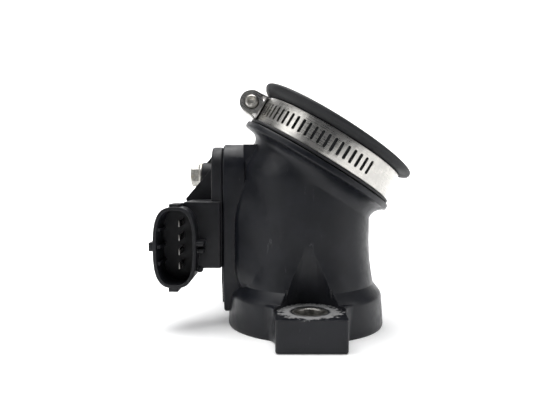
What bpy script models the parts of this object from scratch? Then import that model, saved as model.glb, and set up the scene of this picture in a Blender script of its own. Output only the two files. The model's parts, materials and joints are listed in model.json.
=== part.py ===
"""Electronic throttle body: angled inlet neck, two-eared flange, geared shaft drive, connector cover.

Frame: +Z up the bore, Z = 0 on the flange's mounting face, the origin on the bore axis.
+X points to the side the inlet neck leans to, and -Y to the front ear and the connector's mouth.
"""
import math

import bmesh
import bpy
from mathutils import Matrix, Vector

MM = 0.001
GAP = 0.3 * MM                     # between pieces that touch or seat in one another
RUNNING = 0.12 * MM                # radial clearance of a turning fit
FINE = 40                          # sides of the large round parts
ROUND = 20                         # sides of the small round parts

# bore, body and flange
BORE_RADIUS = 18.0 * MM
FLANGE_RADIUS = 29.3 * MM
FLANGE_TOP_RADIUS = 28.6 * MM
FLANGE_HEIGHT = 12.05 * MM
SHOULDER_TOP = 16.2 * MM
BODY_FOOT_RADIUS = 25.7 * MM
BODY_RADIUS = 24.0 * MM
EAR_HALF_WIDTH = 11.5 * MM
EAR_REACH = 40.3 * MM
EAR_HEIGHT = 10.8 * MM
EAR_FILLET = 11.0 * MM
UNDERCUT = 0.7 * MM                # extra stock that the facing cuts take off
BOLT_OFFSET = 29.0 * MM            # bolt hole axis from the bore axis
SLEEVE_RADIUS = 6.0 * MM
SLEEVE_HOLE_RADIUS = 4.5 * MM
RECESS_FOOT_RADIUS = 9.3 * MM      # cone that clears the bolt head, at the ear's top
RECESS_TOP_RADIUS = 4.8 * MM
RECESS_TOP = 35.0 * MM

# inlet neck, on an axis that leans from the bore axis
TILT = math.radians(31.3)
BEND_HEIGHT = 52.75 * MM
COLLAR_FOOT = 7.1 * MM             # distances along the neck from the bend
COLLAR_TOP = 8.8 * MM
COLLAR_RADIUS = 30.6 * MM
NECK_RADIUS = 25.4 * MM
NECK_BORE_RADIUS = 22.6 * MM
NECK_TOP = 21.8 * MM

# rubber hose end and its clamp
HOSE_RADIUS = 27.3 * MM
HOSE_FOOT = 9.4 * MM
HOSE_TOP = 23.2 * MM
HOSE_LIP_RADIUS = 31.6 * MM
BAND_MIDDLE = 15.15 * MM
BAND_WIDTH = 9.5 * MM
BAND_INNER_RADIUS = 27.6 * MM
BAND_THICKNESS = 0.6 * MM
SLOT_COUNT = 22
SLOT_PITCH = math.radians(5.1)
FIRST_SLOT = math.radians(60.0)
SLOT_LENGTH = 5.0 * MM
SLOT_WIDTH = 1.3 * MM
WORM_OFFSET = 32.7 * MM            # worm axis from the neck axis
WORM_BARREL_RADIUS = 4.5 * MM

# gear casing; its parting plane faces -X
PARTING = -30.6 * MM
CASING_BACK = -22.3 * MM
CHAMBER_FLOOR = -24.9 * MM
CASING_WALL = 3.0 * MM
SHAFT_HEIGHT = 30.0 * MM
SHAFT_RADIUS = 4.0 * MM
SHAFT_BOSS_RADIUS = 15.0 * MM
CASING_OUTLINE = [                 # y, z and corner radius, anticlockwise seen from +X
    (-10.0, 17.0, 6.0), (-5.5, 4.9, 2.0), (20.0, 4.9, 6.0), (50.0, 20.0, 6.0),
    (54.0, 34.0, 6.0), (54.0, 67.4, 12.0), (-10.0, 67.4, 9.0),
]
COVER_OUTLINE = [
    (-10.0, 22.3, 1.0), (9.0, 22.3, 3.0), (22.0, 19.6, 4.0), (36.0, 17.0, 4.0), (49.4, 21.0, 5.0),
    (53.6, 34.0, 6.0), (53.6, 66.3, 11.0), (-9.8, 66.3, 8.0),
]
COVER_FACE = -34.7 * MM
COVER_SEAT = PARTING - GAP
COVER_CEILING = -33.2 * MM
PLUG_INNER = -29.3 * MM            # inner face of the cover's lower plate

# gear train
GEAR_MODULE = 1.0 * MM
FAST_MODULE = 0.8 * MM
THROTTLE_TEETH = 34
SMALL_TEETH = 10
LARGE_TEETH = 32
PINION_TEETH = 10
SECTOR_TEETH = 10
TRAIN_ANGLE = math.radians(15.0)   # direction of the intermediate axis from the shaft
MOTOR_ANGLE = math.radians(28.0)   # direction of the motor axis from the intermediate axis
SLOW_LAYER = (-28.9 * MM, -26.7 * MM)
FAST_LAYER = (-31.4 * MM, -29.2 * MM)
SLOW_DISTANCE = GEAR_MODULE * (THROTTLE_TEETH + SMALL_TEETH) / 2
FAST_DISTANCE = FAST_MODULE * (LARGE_TEETH + PINION_TEETH) / 2
IDLER_Y = SLOW_DISTANCE * math.cos(TRAIN_ANGLE)
IDLER_Z = SHAFT_HEIGHT + SLOW_DISTANCE * math.sin(TRAIN_ANGLE)
MOTOR_Y = IDLER_Y + FAST_DISTANCE * math.cos(MOTOR_ANGLE)
MOTOR_Z = IDLER_Z + FAST_DISTANCE * math.sin(MOTOR_ANGLE)
MOTOR_RADIUS = 11.4 * MM
MOTOR_END = 3.0 * MM

# connector block on the cover
BLOCK_FRONT = -12.0 * MM
BLOCK_REAR = 9.6 * MM
BLOCK_TOP = 46.3 * MM
SHELL_X = -46.35 * MM
SHELL_Z = 30.75 * MM
SHELL_HALF_WIDTH = 7.5 * MM
SHELL_HALF_HEIGHT = 14.1 * MM
SHELL_POWER = 2.9                  # between an ellipse, 2, and a rectangle
SHELL_WALL = 1.1 * MM
SHELL_MOUTH = -20.0 * MM
SHELL_FLOOR = -6.5 * MM
PIN_X = -45.4 * MM
PIN_PITCH = 5.0 * MM
PIN_COUNT = 4
BOARD_X = (-35.8 * MM, -34.4 * MM)
COVER_SCREWS = [                   # y, z and how far its boss stands out of the cover
    (14.5 * MM, 55.9 * MM, 6.0 * MM), (46.0 * MM, 59.0 * MM, 0.4 * MM),
                (40.0 * MM, 25.0 * MM, 0.4 * MM),
]
SCREW_RADIUS = 2.0 * MM
POST_RADIUS = 4.2 * MM

ALONG_X = Matrix(((0, 0, 1), (1, 0, 0), (0, 1,
                                         0))).to_4x4()      # local z to world x, local x to world y
ALONG_Y = Matrix(((1, 0, 0), (0, 0, -1), (0, 1,
                                          0))).to_4x4()     # local z to world -y, local y to world z
NECK = Matrix.Translation((0, 0, BEND_HEIGHT)) @ Matrix.Rotation(TILT, 4, "Y")
CLAMP = NECK @ Matrix.Translation((0, 0, BAND_MIDDLE)) @ Matrix.Rotation(math.pi, 4, "Z")

FINISHES = {                       # base colour, roughness, metallic
    "black_plastic": ((0.035, 0.038, 0.044), 0.42, 0.0),
    "cover_plastic": ((0.040, 0.043, 0.048), 0.50, 0.0),
    "rubber": ((0.030, 0.031, 0.034), 0.70, 0.0),
    "stainless": ((0.62, 0.61, 0.59), 0.30, 1.0),
    "zinc": ((0.70, 0.69, 0.66), 0.38, 1.0),
    "steel": ((0.50, 0.50, 0.50), 0.35, 1.0),
    "aluminium": ((0.74, 0.75, 0.76), 0.35, 1.0),
    "bronze": ((0.55, 0.38, 0.18), 0.40, 1.0),
    "tin": ((0.80, 0.79, 0.75), 0.30, 1.0),
    "copper": ((0.72, 0.38, 0.22), 0.40, 1.0),
    "magnet": ((0.12, 0.12, 0.13), 0.45, 0.6),
    "gear_plastic": ((0.78, 0.74, 0.64), 0.50, 0.0),
    "board": ((0.03, 0.20, 0.09), 0.45, 0.0),
    "chip": ((0.02, 0.02, 0.02), 0.50, 0.0),
    "seal_rubber": ((0.05, 0.045, 0.04), 0.65, 0.0),
}


# --- scene helpers ---------------------------------------------------------------------------

def clear_scene():
    for obj in list(bpy.data.objects):
        bpy.data.objects.remove(obj, do_unlink=True)


def new_collection(name):
    collection = bpy.data.collections.new(name)
    bpy.context.scene.collection.children.link(collection)
    return collection


def make_material(name):
    colour, roughness, metallic = FINISHES[name]
    material = bpy.data.materials.new(name)
    material.use_nodes = True
    shader = material.node_tree.nodes["Principled BSDF"]
    shader.inputs["Base Color"].default_value = (*colour, 1.0)
    shader.inputs["Roughness"].default_value = roughness
    shader.inputs["Metallic"].default_value = metallic
    material.diffuse_color = (*colour, 1.0)
    return material


def add_object(name, mesh):
    obj = bpy.data.objects.new(name, mesh)
    parts.objects.link(obj)
    return obj


def finish(obj, material, origin=(0, 0, 0)):
    """Give the piece its material, smooth round faces and an origin on its joint's axis."""
    obj.data.materials.clear()
    obj.data.materials.append(materials[material])
    obj.data.shade_smooth()
    obj.data.set_sharp_from_angle(angle=math.radians(30))
    shift = Vector(origin)
    obj.data.transform(Matrix.Translation(-shift))
    obj.location = shift
    return obj


def combine(obj, tool, operation):
    modifier = obj.modifiers.new(tool.name, "BOOLEAN")
    modifier.operation = operation
    modifier.object = tool
    modifier.solver = "EXACT"
    parts.objects.unlink(tool)
    cutters.objects.link(tool)
    tool.hide_render = True
    tool.display_type = "WIRE"


def cut(obj, *tools):
    for tool in tools:
        combine(obj, tool, "DIFFERENCE")


def join(obj, *tools):
    for tool in tools:
        combine(obj, tool, "UNION")


# --- shape helpers ---------------------------------------------------------------------------

def mesh_object(name, fill, matrix=Matrix.Identity(4)):
    mesh = bpy.data.meshes.new(name)
    bm = bmesh.new()
    fill(bm)
    bmesh.ops.transform(bm, matrix=matrix, verts=bm.verts)
    bmesh.ops.recalc_face_normals(bm, faces=bm.faces)
    bm.to_mesh(mesh)
    bm.free()
    return add_object(name, mesh)


def box(name, low, high, matrix=Matrix.Identity(4)):
    low, high = Vector(low), Vector(high)

    def fill(bm):
        size = Matrix.Diagonal((*(high - low), 1.0))
        bmesh.ops.create_cube(bm, size=1.0, matrix=Matrix.Translation((low + high) / 2) @ size)

    return mesh_object(name, fill, matrix)


def cylinder(name, radius, start, end, matrix=Matrix.Identity(4), sides=ROUND, end_radius=None):
    """A cylinder or cone on the matrix's local z axis, from start to end."""
    middle = Matrix.Translation((0, 0, (start + end) / 2))

    def fill(bm):
        bmesh.ops.create_cone(bm, cap_ends=True, segments=sides, radius1=radius,
                              radius2=radius if end_radius is None else end_radius,
                              depth=end - start, matrix=middle)

    return mesh_object(name, fill, matrix)


def turned(name, profile, matrix=Matrix.Identity(4), sides=ROUND):
    """Turn (radius, height) points about the local z axis with a Screw modifier.

    The points run down the outer side. A ring's profile is closed; a solid's starts and ends on the axis.
    """
    ring = all(radius > 0 for radius, height in profile)
    mesh = bpy.data.meshes.new(name)
    points = [(radius, 0, height) for radius, height in profile]
    edges = [(i, i + 1) for i in range(len(points) - 1)]
    if ring:
        edges.append((len(points) - 1, 0))
    mesh.from_pydata(points, edges, [])
    obj = add_object(name, mesh)
    screw = obj.modifiers.new("Screw", "SCREW")
    screw.steps = sides
    screw.render_steps = sides
    screw.use_merge_vertices = True
    screw.merge_threshold = 0.00001
    screw.use_normal_calculate = False
    return settle(obj, matrix)


def settle(obj, matrix):
    """Replace a curve, or an object with modifiers, by its finished mesh moved by the matrix."""
    bpy.context.view_layer.update()
    evaluated = obj.evaluated_get(bpy.context.evaluated_depsgraph_get())
    mesh = bpy.data.meshes.new_from_object(evaluated)
    name = obj.name
    bpy.data.objects.remove(obj, do_unlink=True)
    bm = bmesh.new()
    bm.from_mesh(mesh)
    bmesh.ops.remove_doubles(bm, verts=bm.verts, dist=0.000001)
    bmesh.ops.transform(bm, matrix=matrix, verts=bm.verts)
    bmesh.ops.recalc_face_normals(bm, faces=bm.faces)
    bm.to_mesh(mesh)
    bm.free()
    return add_object(name, mesh)


def plate(name, outline, start, end, matrix=Matrix.Identity(4)):
    """Extrude a flat outline along the matrix's local z axis, from start to end."""
    curve = bpy.data.curves.new(name, "CURVE")
    curve.dimensions = "2D"
    curve.fill_mode = "BOTH"
    curve.extrude = (end - start) / 2
    spline = curve.splines.new("POLY")
    spline.points.add(len(outline) - 1)
    for point, (x, y) in zip(spline.points, outline):
        point.co = (x, y, 0, 1)
    spline.use_cyclic_u = True
    return settle(add_object(name, curve), matrix @ Matrix.Translation((0, 0, (start + end) / 2)))


def rounded(corners, inset=0.0, steps=3):
    """Round each corner of a polygon of (x, y, radius) in metres, after moving its sides inwards."""
    points = [Vector(corner[:2]) for corner in corners]
    sides = [(points[i] - points[i - 1]).normalized() for i in range(len(points))]
    outline = []
    for i, corner in enumerate(corners):
        before, after = sides[i], sides[(i + 1) % len(points)]
        turn = before.x * after.y - before.y * after.x
        angle = math.atan2(turn, before.dot(after))
        inward_before = Vector((-before.y, before.x))
        inward_after = Vector((-after.y, after.x))
        point = points[i] + (inward_before + inward_after) * inset / (1 + inward_before.dot(inward_after))
        radius = corner[2] - inset if turn > 0 else corner[2] + inset
        radius = max(radius, 0.2 * MM) if corner[2] > 0 else 0.0
        if radius == 0.0:
            outline.append(tuple(point))
            continue
        tangent = radius * math.tan(abs(angle) / 2)
        side = 1 if turn > 0 else -1
        centre = point - before * tangent + inward_before * radius * side
        for step in range(steps + 1):
            swing = Matrix.Rotation(angle * step / steps, 2)
            outline.append(tuple(centre + swing @ (-inward_before * radius * side)))
    return outline


def millimetres(corners):
    return [tuple(value * MM for value in corner) for corner in corners]


def circle(radius, sides=ROUND, y=0.0, z=0.0):
    turns = [math.tau * i / sides for i in range(sides)]
    return [(y + radius * math.cos(a), z + radius * math.sin(a)) for a in turns]


def at(y, z):
    """Frame whose local z axis runs along world X, through the point (y, z)."""
    return Matrix.Translation((0, y, z)) @ ALONG_X


def loft(name, rings):
    """Join equal rings of points by quads and close both ends."""
    def fill(bm):
        loops = [[bm.verts.new(point) for point in ring] for ring in rings]
        for lower, upper in zip(loops, loops[1:]):
            for i in range(len(lower)):
                following = (i + 1) % len(lower)
                bm.faces.new((lower[i], lower[following], upper[following], upper[i]))
        bm.faces.new(loops[0])
        bm.faces.new(loops[-1])

    return mesh_object(name, fill)


# --- housing ---------------------------------------------------------------------------------

def level_ring(radius, height):
    return [(x, y, height) for x, y in circle(radius, FINE)]


def mitre_ring(radius):
    """Where a vertical tube of this radius meets the leaning one."""
    return [(x, y, BEND_HEIGHT - x * math.tan(TILT / 2)) for x, y in circle(radius, FINE)]


def neck_ring(radius, distance):
    return [NECK @ Vector((x, y, distance)) for x, y in circle(radius, FINE)]


def between(first, second, share):
    return [Vector(a).lerp(Vector(b), share) for a, b in zip(first, second)]


def collar_fillet():
    """Rings that blend the body into the underside of the collar, deeper on the leaning side."""
    mitre = mitre_ring(BODY_RADIUS)
    corner = neck_ring(BODY_RADIUS + 0.6 * MM, COLLAR_FOOT)
    rim = neck_ring(COLLAR_RADIUS - 0.8 * MM, COLLAR_FOOT)
    foot, control = [], []
    for low, high, (x, y) in zip(mitre, corner, circle(1.0, FINE)):
        low, high = Vector(low), Vector(high)
        lean = max(x, 0.0)
        reach = (4.0 + 1.5 * (1 + x)) * MM
        along = (high - low).length
        if reach < along:
            foot.append(high.lerp(low, reach / along))
        else:
            foot.append(low - Vector((0, 0, reach - along)))
        control.append(high + Vector((0.5 * MM * lean, 0, -3.0 * MM * lean)))
    curve = []
    for step in range(5):
        share = step / 4
        ring = [a * (1 - share) ** 2 + b * 2 * share * (1 - share) + c * share ** 2
                for a, b, c in zip(foot, control, rim)]
        curve.append(ring)
    return foot, curve


def body_tube():
    foot, fillet = collar_fillet()
    mitre = mitre_ring(BODY_RADIUS)
    knee = [Vector(m) if m[2] < f.z - 0.4 * MM else f - Vector((0, 0, 0.4 * MM)) for m,
            f in zip(mitre, foot)]
    base = level_ring(BODY_RADIUS - 0.1 * MM, 32 * MM)
    rings = [
        level_ring(BODY_FOOT_RADIUS + 0.2 * MM, FLANGE_HEIGHT - 3 * MM),
        level_ring(BODY_FOOT_RADIUS - 0.2 * MM, SHOULDER_TOP),
        level_ring(BODY_RADIUS + 0.3 * MM, 24.0 * MM),
        level_ring(BODY_RADIUS, 28.0 * MM),
        base,
        between(base, knee, 0.5),
        knee,
        between(knee, foot, 0.5),
        *fillet,
        neck_ring(COLLAR_RADIUS, COLLAR_FOOT + 0.5 * MM),
        neck_ring(COLLAR_RADIUS, COLLAR_TOP - 0.5 * MM),
        neck_ring(COLLAR_RADIUS - 0.5 * MM, COLLAR_TOP),
        neck_ring(NECK_RADIUS + 2.2 * MM, COLLAR_TOP),
        neck_ring(NECK_RADIUS, COLLAR_TOP + 0.3 * MM),
        neck_ring(NECK_RADIUS, NECK_TOP - 0.8 * MM),
        neck_ring(NECK_RADIUS - 0.8 * MM, NECK_TOP),
    ]
    return loft("body_tube", rings)


def air_passage():
    rings = [
        level_ring(BORE_RADIUS, -1 * MM),
        level_ring(BORE_RADIUS, 40 * MM),
        mitre_ring(BORE_RADIUS),
        neck_ring(BORE_RADIUS + 1.6 * MM, 7.5 * MM),
        neck_ring(NECK_BORE_RADIUS, 14 * MM),
        neck_ring(NECK_BORE_RADIUS, NECK_TOP + 1 * MM),
    ]
    return loft("air_passage", rings)


def flange_disc():
    profile = [
        (0, SHOULDER_TOP), (BODY_FOOT_RADIUS - 0.5 * MM, SHOULDER_TOP),
        (FLANGE_TOP_RADIUS - 0.5 * MM, FLANGE_HEIGHT + 0.5 * MM),
        (FLANGE_TOP_RADIUS, FLANGE_HEIGHT - 0.3 * MM),
        (FLANGE_RADIUS, 0.5 * MM), (FLANGE_RADIUS - 0.7 * MM, -UNDERCUT), (0, -UNDERCUT),
    ]
    return turned("flange_disc", profile, sides=FINE)


def flange_ear(name, side):
    outer = FLANGE_RADIUS * 0.7
    corners = [
        (-EAR_HALF_WIDTH, -EAR_REACH, 1.0 * MM), (EAR_HALF_WIDTH, -EAR_REACH, 1.0 * MM),
        (EAR_HALF_WIDTH, -27.5 * MM, EAR_FILLET), (outer, -outer + 1 * MM, 0.0),
        (0.0, -5 * MM, 0.0), (-outer, -outer + 1 * MM, 0.0), (-EAR_HALF_WIDTH, -27.5 * MM, EAR_FILLET),
    ]
    matrix = Matrix.Identity(4) if side < 0 else Matrix.Rotation(math.pi, 4, "Z")
    return plate(name, rounded(corners), -2 * UNDERCUT, EAR_HEIGHT + UNDERCUT, matrix)


def bolt_recess(name, side):
    """Cone and wedge-shaped slab that clear the bolt head above an ear."""
    hole = Matrix.Translation((0, side * BOLT_OFFSET, 0))
    cone = cylinder(name, RECESS_FOOT_RADIUS, EAR_HEIGHT + 0.2 * MM, RECESS_TOP, hole, sides=31,
                    end_radius=RECESS_TOP_RADIUS)
    wedge = [(-9.0 * MM, -23.2 * MM), (-14.5 * MM, -33 * MM), (-14.5 * MM, -45 * MM),
             (14.5 * MM, -45 * MM), (14.5 * MM, -33 * MM), (9.0 * MM, -23.2 * MM), (0, -24.9 * MM)]
    turn = Matrix.Identity(4) if side < 0 else Matrix.Rotation(math.pi, 4, "Z")
    slab = plate(name + "_slab", wedge, EAR_HEIGHT, SHOULDER_TOP + 0.6 * MM, turn)
    return cone, slab


def shaft_boss():
    """Boss round the shaft's bush, with a wide round where it runs out of the casing."""
    profile = [
        (0, -12 * MM), (SHAFT_BOSS_RADIUS + 2.0 * MM, -12 * MM),
               (SHAFT_BOSS_RADIUS + 1.6 * MM, -18 * MM),
        (SHAFT_BOSS_RADIUS + 0.9 * MM, -22 * MM), (SHAFT_BOSS_RADIUS - 0.6 * MM, -24.6 * MM),
        (SHAFT_BOSS_RADIUS - 2.6 * MM, -26.3 * MM), (SHAFT_BOSS_RADIUS - 5.4 * MM, -27 * MM),
               (0, -27 * MM),
    ]
    return turned("shaft_boss", profile, at(0, SHAFT_HEIGHT), sides=32)


def housing():
    body = body_tube()
    body.name = "housing"
    casing = rounded(millimetres(CASING_OUTLINE))
    join(body,
         flange_disc(), flange_ear("front_ear", -1), flange_ear("rear_ear", 1),
         plate("casing", casing, PARTING, CASING_BACK, ALONG_X),
         shaft_boss(),
         cylinder("motor_barrel", MOTOR_RADIUS + 2.6 * MM, CASING_BACK - 1 * MM, MOTOR_END + 3 * MM,
                  at(MOTOR_Y, MOTOR_Z), sides=32),
         box("barrel_rib", (-24 * MM, 20 * MM, 18 * MM), (-19 * MM, 36 * MM, 40 * MM)),
         box("neck_bridge", (-23 * MM, -6.6 * MM, 47 * MM), (-17.5 * MM, 11 * MM, 66.9 * MM)))
    for i, (y, z, height) in enumerate(COVER_SCREWS):
        join(body, cylinder(f"post_back_{i}", POST_RADIUS, CASING_BACK - 1 * MM,
                            CASING_BACK + 1.5 * MM, at(y, z)))
    cut(body,
        box("facing", (-60 * MM, -60 * MM, -10 * MM), (60 * MM, 60 * MM, 0)),
        air_passage(),
        plate("chamber", rounded(millimetres(CASING_OUTLINE), CASING_WALL), PARTING - 1 * MM,
              CHAMBER_FLOOR,
              ALONG_X),
        cylinder("motor_pocket", MOTOR_RADIUS + GAP, CHAMBER_FLOOR - 1 * MM, MOTOR_END + 0.8 * MM,
                 at(MOTOR_Y, MOTOR_Z), sides=32))
    for side, name in ((-1, "front_recess"), (1, "rear_recess")):
        cut(body, *bolt_recess(name, side))
        hole = Matrix.Translation((0, side * BOLT_OFFSET, 0))
        cut(body, cylinder(name + "_hole", SLEEVE_RADIUS + GAP, -1 * MM, EAR_HEIGHT + 1 * MM, hole))
    for i, (y, z, height) in enumerate(COVER_SCREWS):
        join(body, cylinder(f"post_{i}", POST_RADIUS, PARTING + 0.1 * MM, CHAMBER_FLOOR + 1 * MM,
                            at(y, z)))
        cut(body, cylinder(f"post_hole_{i}", SCREW_RADIUS + GAP, PARTING - 1 * MM,
                           CASING_BACK + 0.5 * MM, at(y, z),
                           sides=14))
    cut(body, cylinder("idler_hole", 2.3 * MM, CHAMBER_FLOOR - 1 * MM, -22.9 * MM,
                       at(IDLER_Y, IDLER_Z), sides=14))
    cut(body, *motor_screw_holes())
    outer = rounded(millimetres(CASING_OUTLINE), 0.8 * MM)
    inner = rounded(millimetres(CASING_OUTLINE), 2.2 * MM)
    groove = plate("gasket_groove", outer, PARTING - 1 * MM, PARTING + 1.1 * MM, ALONG_X)
    cut(groove, plate("groove_core", inner, PARTING - 2 * MM, PARTING + 2 * MM, ALONG_X))
    cut(body, groove)
    cut(body, shaft_passage())
    cut(body, turned("seal_groove", ring_profile(21.4 * MM, 19.6 * MM, -1 * MM, 1.9 * MM), sides=FINE))
    return finish(body, "black_plastic")


def shaft_passage():
    """Stepped hole across the bore for the shaft, its seal and its two bushes."""
    seat = 6.3 * MM
    near, far = CHAMBER_FLOOR - 1 * MM, 21.9 * MM
    hole = SHAFT_RADIUS + GAP
    profile = [(0, far), (seat, far), (seat, 10 * MM), (hole, 10 * MM), (hole, -20.5 * MM),
               (seat, -20.5 * MM),
               (seat, near), (0, near)]
    return turned("shaft_passage", profile, at(0, SHAFT_HEIGHT), sides=26)


def ring_profile(outer, inner, low, high):
    return [(outer, high), (outer, low), (inner, low), (inner, high)]


def motor_screw_places():
    return [(MOTOR_Y + 13.4 * MM * math.cos(a), MOTOR_Z + 13.4 * MM * math.sin(a))
            for a in (math.radians(-45), math.radians(135))]


def motor_screw_holes():
    return [cylinder(f"motor_screw_hole_{i}", 1.3 * MM, CHAMBER_FLOOR - 1 * MM, -22.9 * MM, at(y, z),
                     sides=12)
            for i, (y, z) in enumerate(motor_screw_places())]


def mounting_sleeves():
    for side, name in ((-1, "front_sleeve"), (1, "rear_sleeve")):
        hole = Matrix.Translation((0, side * BOLT_OFFSET, 0))
        chamfer = 0.4 * MM
        profile = [
            (SLEEVE_RADIUS, EAR_HEIGHT), (SLEEVE_RADIUS, 0), (SLEEVE_HOLE_RADIUS, 0),
            (SLEEVE_HOLE_RADIUS, EAR_HEIGHT - chamfer), (SLEEVE_HOLE_RADIUS + chamfer, EAR_HEIGHT),
        ]
        finish(turned(name, profile, hole), "steel")


def manifold_seal():
    finish(turned("manifold_seal", ring_profile(21.1 * MM, 19.9 * MM, 0.1 * MM, 1.6 * MM), sides=FINE),
           "seal_rubber")


# --- hose end and clamp ----------------------------------------------------------------------

def hose_end():
    """Short rubber end of the intake hose, on the neck under the clamp."""
    inner = NECK_RADIUS + GAP
    profile = [
        (24.6 * MM, HOSE_TOP), (HOSE_LIP_RADIUS - 0.9 * MM, HOSE_TOP),
               (HOSE_LIP_RADIUS - 0.2 * MM, HOSE_TOP - 0.4 * MM),
        (HOSE_LIP_RADIUS, HOSE_TOP - 1.2 * MM), (HOSE_LIP_RADIUS - 0.5 * MM, HOSE_TOP - 2.2 * MM),
        (HOSE_LIP_RADIUS - 2.0 * MM, HOSE_TOP - 2.6 * MM), (HOSE_RADIUS + 0.5 * MM, 20.1 * MM),
        (HOSE_RADIUS, 20.0 * MM), (HOSE_RADIUS, HOSE_FOOT + 0.8 * MM),
        (COLLAR_RADIUS - 1.0 * MM, HOSE_FOOT + 0.7 * MM), (COLLAR_RADIUS - 1.0 * MM, HOSE_FOOT),
        (inner, HOSE_FOOT), (inner, NECK_TOP + GAP), (24.6 * MM, NECK_TOP + GAP),
    ]
    finish(turned("hose_end", profile, NECK, sides=FINE), "rubber")


def clamp_band():
    outer = BAND_INNER_RADIUS + BAND_THICKNESS
    low = BAND_MIDDLE - BAND_WIDTH / 2
    high = BAND_MIDDLE + BAND_WIDTH / 2
    band = turned("clamp_band", ring_profile(outer, BAND_INNER_RADIUS, low, high), NECK, sides=FINE)
    half_length = SLOT_LENGTH / 2
    half_width = SLOT_WIDTH / 2
    corners = [(-half_width, -half_length, 0.4 * MM), (half_width, -half_length, 0.4 * MM),
               (half_width, half_length, 0.4 * MM), (-half_width, half_length, 0.4 * MM)]
    slot = rounded(corners, steps=1)
    across = Matrix.Rotation(math.pi / 2, 4, "Y") @ Matrix.Rotation(math.pi / 2, 4, "Z")
    for i in range(SLOT_COUNT):
        turn = Matrix.Rotation(-(FIRST_SLOT + i * SLOT_PITCH), 4, "Z")
        place = NECK @ Matrix.Translation((0, 0, BAND_MIDDLE)) @ turn @ across
        cut(band, plate(f"slot_{i}", slot, BAND_INNER_RADIUS - 1 * MM, outer + 1 * MM, place))
    finish(band, "stainless")


def clamp_housing():
    """Sheet-metal barrel that holds the worm, flaring to a saddle on the band."""
    base = BAND_INNER_RADIUS + BAND_THICKNESS + GAP
    half_foot = 4.75 * MM
    corner = Vector((WORM_OFFSET - base, half_foot))
    flank = math.atan2(corner.y, -corner.x) - math.acos(WORM_BARREL_RADIUS / corner.length)
    outline = [(base, -half_foot)]
    for step in range(17):
        angle = flank * (step / 8 - 1)
        outline.append((WORM_OFFSET + WORM_BARREL_RADIUS * math.cos(angle),
                        WORM_BARREL_RADIUS * math.sin(angle)))
    outline.append((base, half_foot))
    end_view = CLAMP @ Matrix.Rotation(math.pi / 2, 4, "X")
    body = plate("clamp_housing", outline, -5.6 * MM, 5.6 * MM, end_view)
    foot = box("saddle_foot", (base - 0.1 * MM, -6.1 * MM, 0.1 * MM - half_foot),
               (base + 0.8 * MM, 6.1 * MM, half_foot - 0.1 * MM), CLAMP)
    join(body, foot)
    axis = end_view @ Matrix.Translation((WORM_OFFSET, 0, 0))
    for side in (-1, 1):
        window = [(base + 0.9 * MM, side * 4.1 * MM), (base + 0.9 * MM, side * 2.6 * MM),
                  (base + 2.8 * MM, side * 4.0 * MM)]
        cut(body, plate(f"housing_window_{side}", window, -9 * MM, 9 * MM, end_view))
    cut(body,
        cylinder("worm_bore", 3.7 * MM, -5.0 * MM, 9 * MM, axis),
        cylinder("worm_tail_bore", 2.7 * MM, -9 * MM, 0, axis, sides=18))
    finish(body, "stainless")


def clamp_worm():
    """Worm screw on a tangent of the band, with a slotted hexagon head at the rear."""
    origin = CLAMP @ Vector((WORM_OFFSET, 0, 0))
    axis = CLAMP @ Matrix.Translation((WORM_OFFSET, 0, 0)) @ Matrix.Rotation(math.pi / 2, 4, "X")
    crest, root = 3.4 * MM, 2.8 * MM
    profile = [(0, 8.2 * MM), (2.4 * MM, 8.2 * MM), (2.4 * MM, 4.9 * MM)]
    for i in range(4):
        top = (4.6 - i * 2.2) * MM
        profile += [(crest, top), (crest, top - 0.8 * MM), (root, top - 1.4 * MM)]
    profile += [(2.35 * MM, -4.7 * MM), (2.35 * MM, -7.6 * MM), (1.9 * MM, -8.1 * MM),
                (1.1 * MM, -8.1 * MM), (0.9 * MM, -7.6 * MM), (0, -7.6 * MM)]
    screw = turned("clamp_worm", profile, axis, sides=16)
    head = cylinder("worm_head", 4.1 * MM, 6.4 * MM, 10.2 * MM, axis, sides=6)
    join(screw, head)
    cut(screw, box("worm_slot", (-0.6 * MM, -6 * MM, 8.8 * MM), (0.6 * MM, 6 * MM, 12 * MM), axis))
    finish(screw, "zinc", origin)


# --- throttle shaft and plate ----------------------------------------------------------------

SHAFT_POINT = (0, 0, SHAFT_HEIGHT)
PLATE_THICKNESS = 1.5 * MM
PLATE_SCREW_X = 7.5 * MM


def throttle_shaft():
    frame = at(0, SHAFT_HEIGHT)
    profile = [
        (0, 21.5 * MM), (SHAFT_RADIUS - 0.4 * MM, 21.5 * MM), (SHAFT_RADIUS, 21.1 * MM),
        (SHAFT_RADIUS, -30.4 * MM), (SHAFT_RADIUS - 0.4 * MM, -30.8 * MM), (0, -30.8 * MM),
    ]
    shaft = turned("throttle_shaft", profile, frame)
    half_slot = PLATE_THICKNESS / 2 + GAP
    reach = BORE_RADIUS - 0.1 * MM
    cut(shaft,
        box("plate_slot", (-reach, -8 * MM, SHAFT_HEIGHT - half_slot),
            (reach, 8 * MM, SHAFT_HEIGHT + half_slot)),
        box("head_flat", (-12 * MM, -8 * MM, SHAFT_HEIGHT + 3 * MM),
            (12 * MM, 8 * MM, SHAFT_HEIGHT + 8 * MM)))
    for i, x in enumerate((-PLATE_SCREW_X, PLATE_SCREW_X)):
        place = Matrix.Translation((x, 0, SHAFT_HEIGHT))
        cut(shaft, cylinder(f"shaft_screw_hole_{i}", 1.5 * MM + GAP, -6 * MM, 6 * MM, place, sides=16))
    finish(shaft, "steel", SHAFT_POINT)


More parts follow.
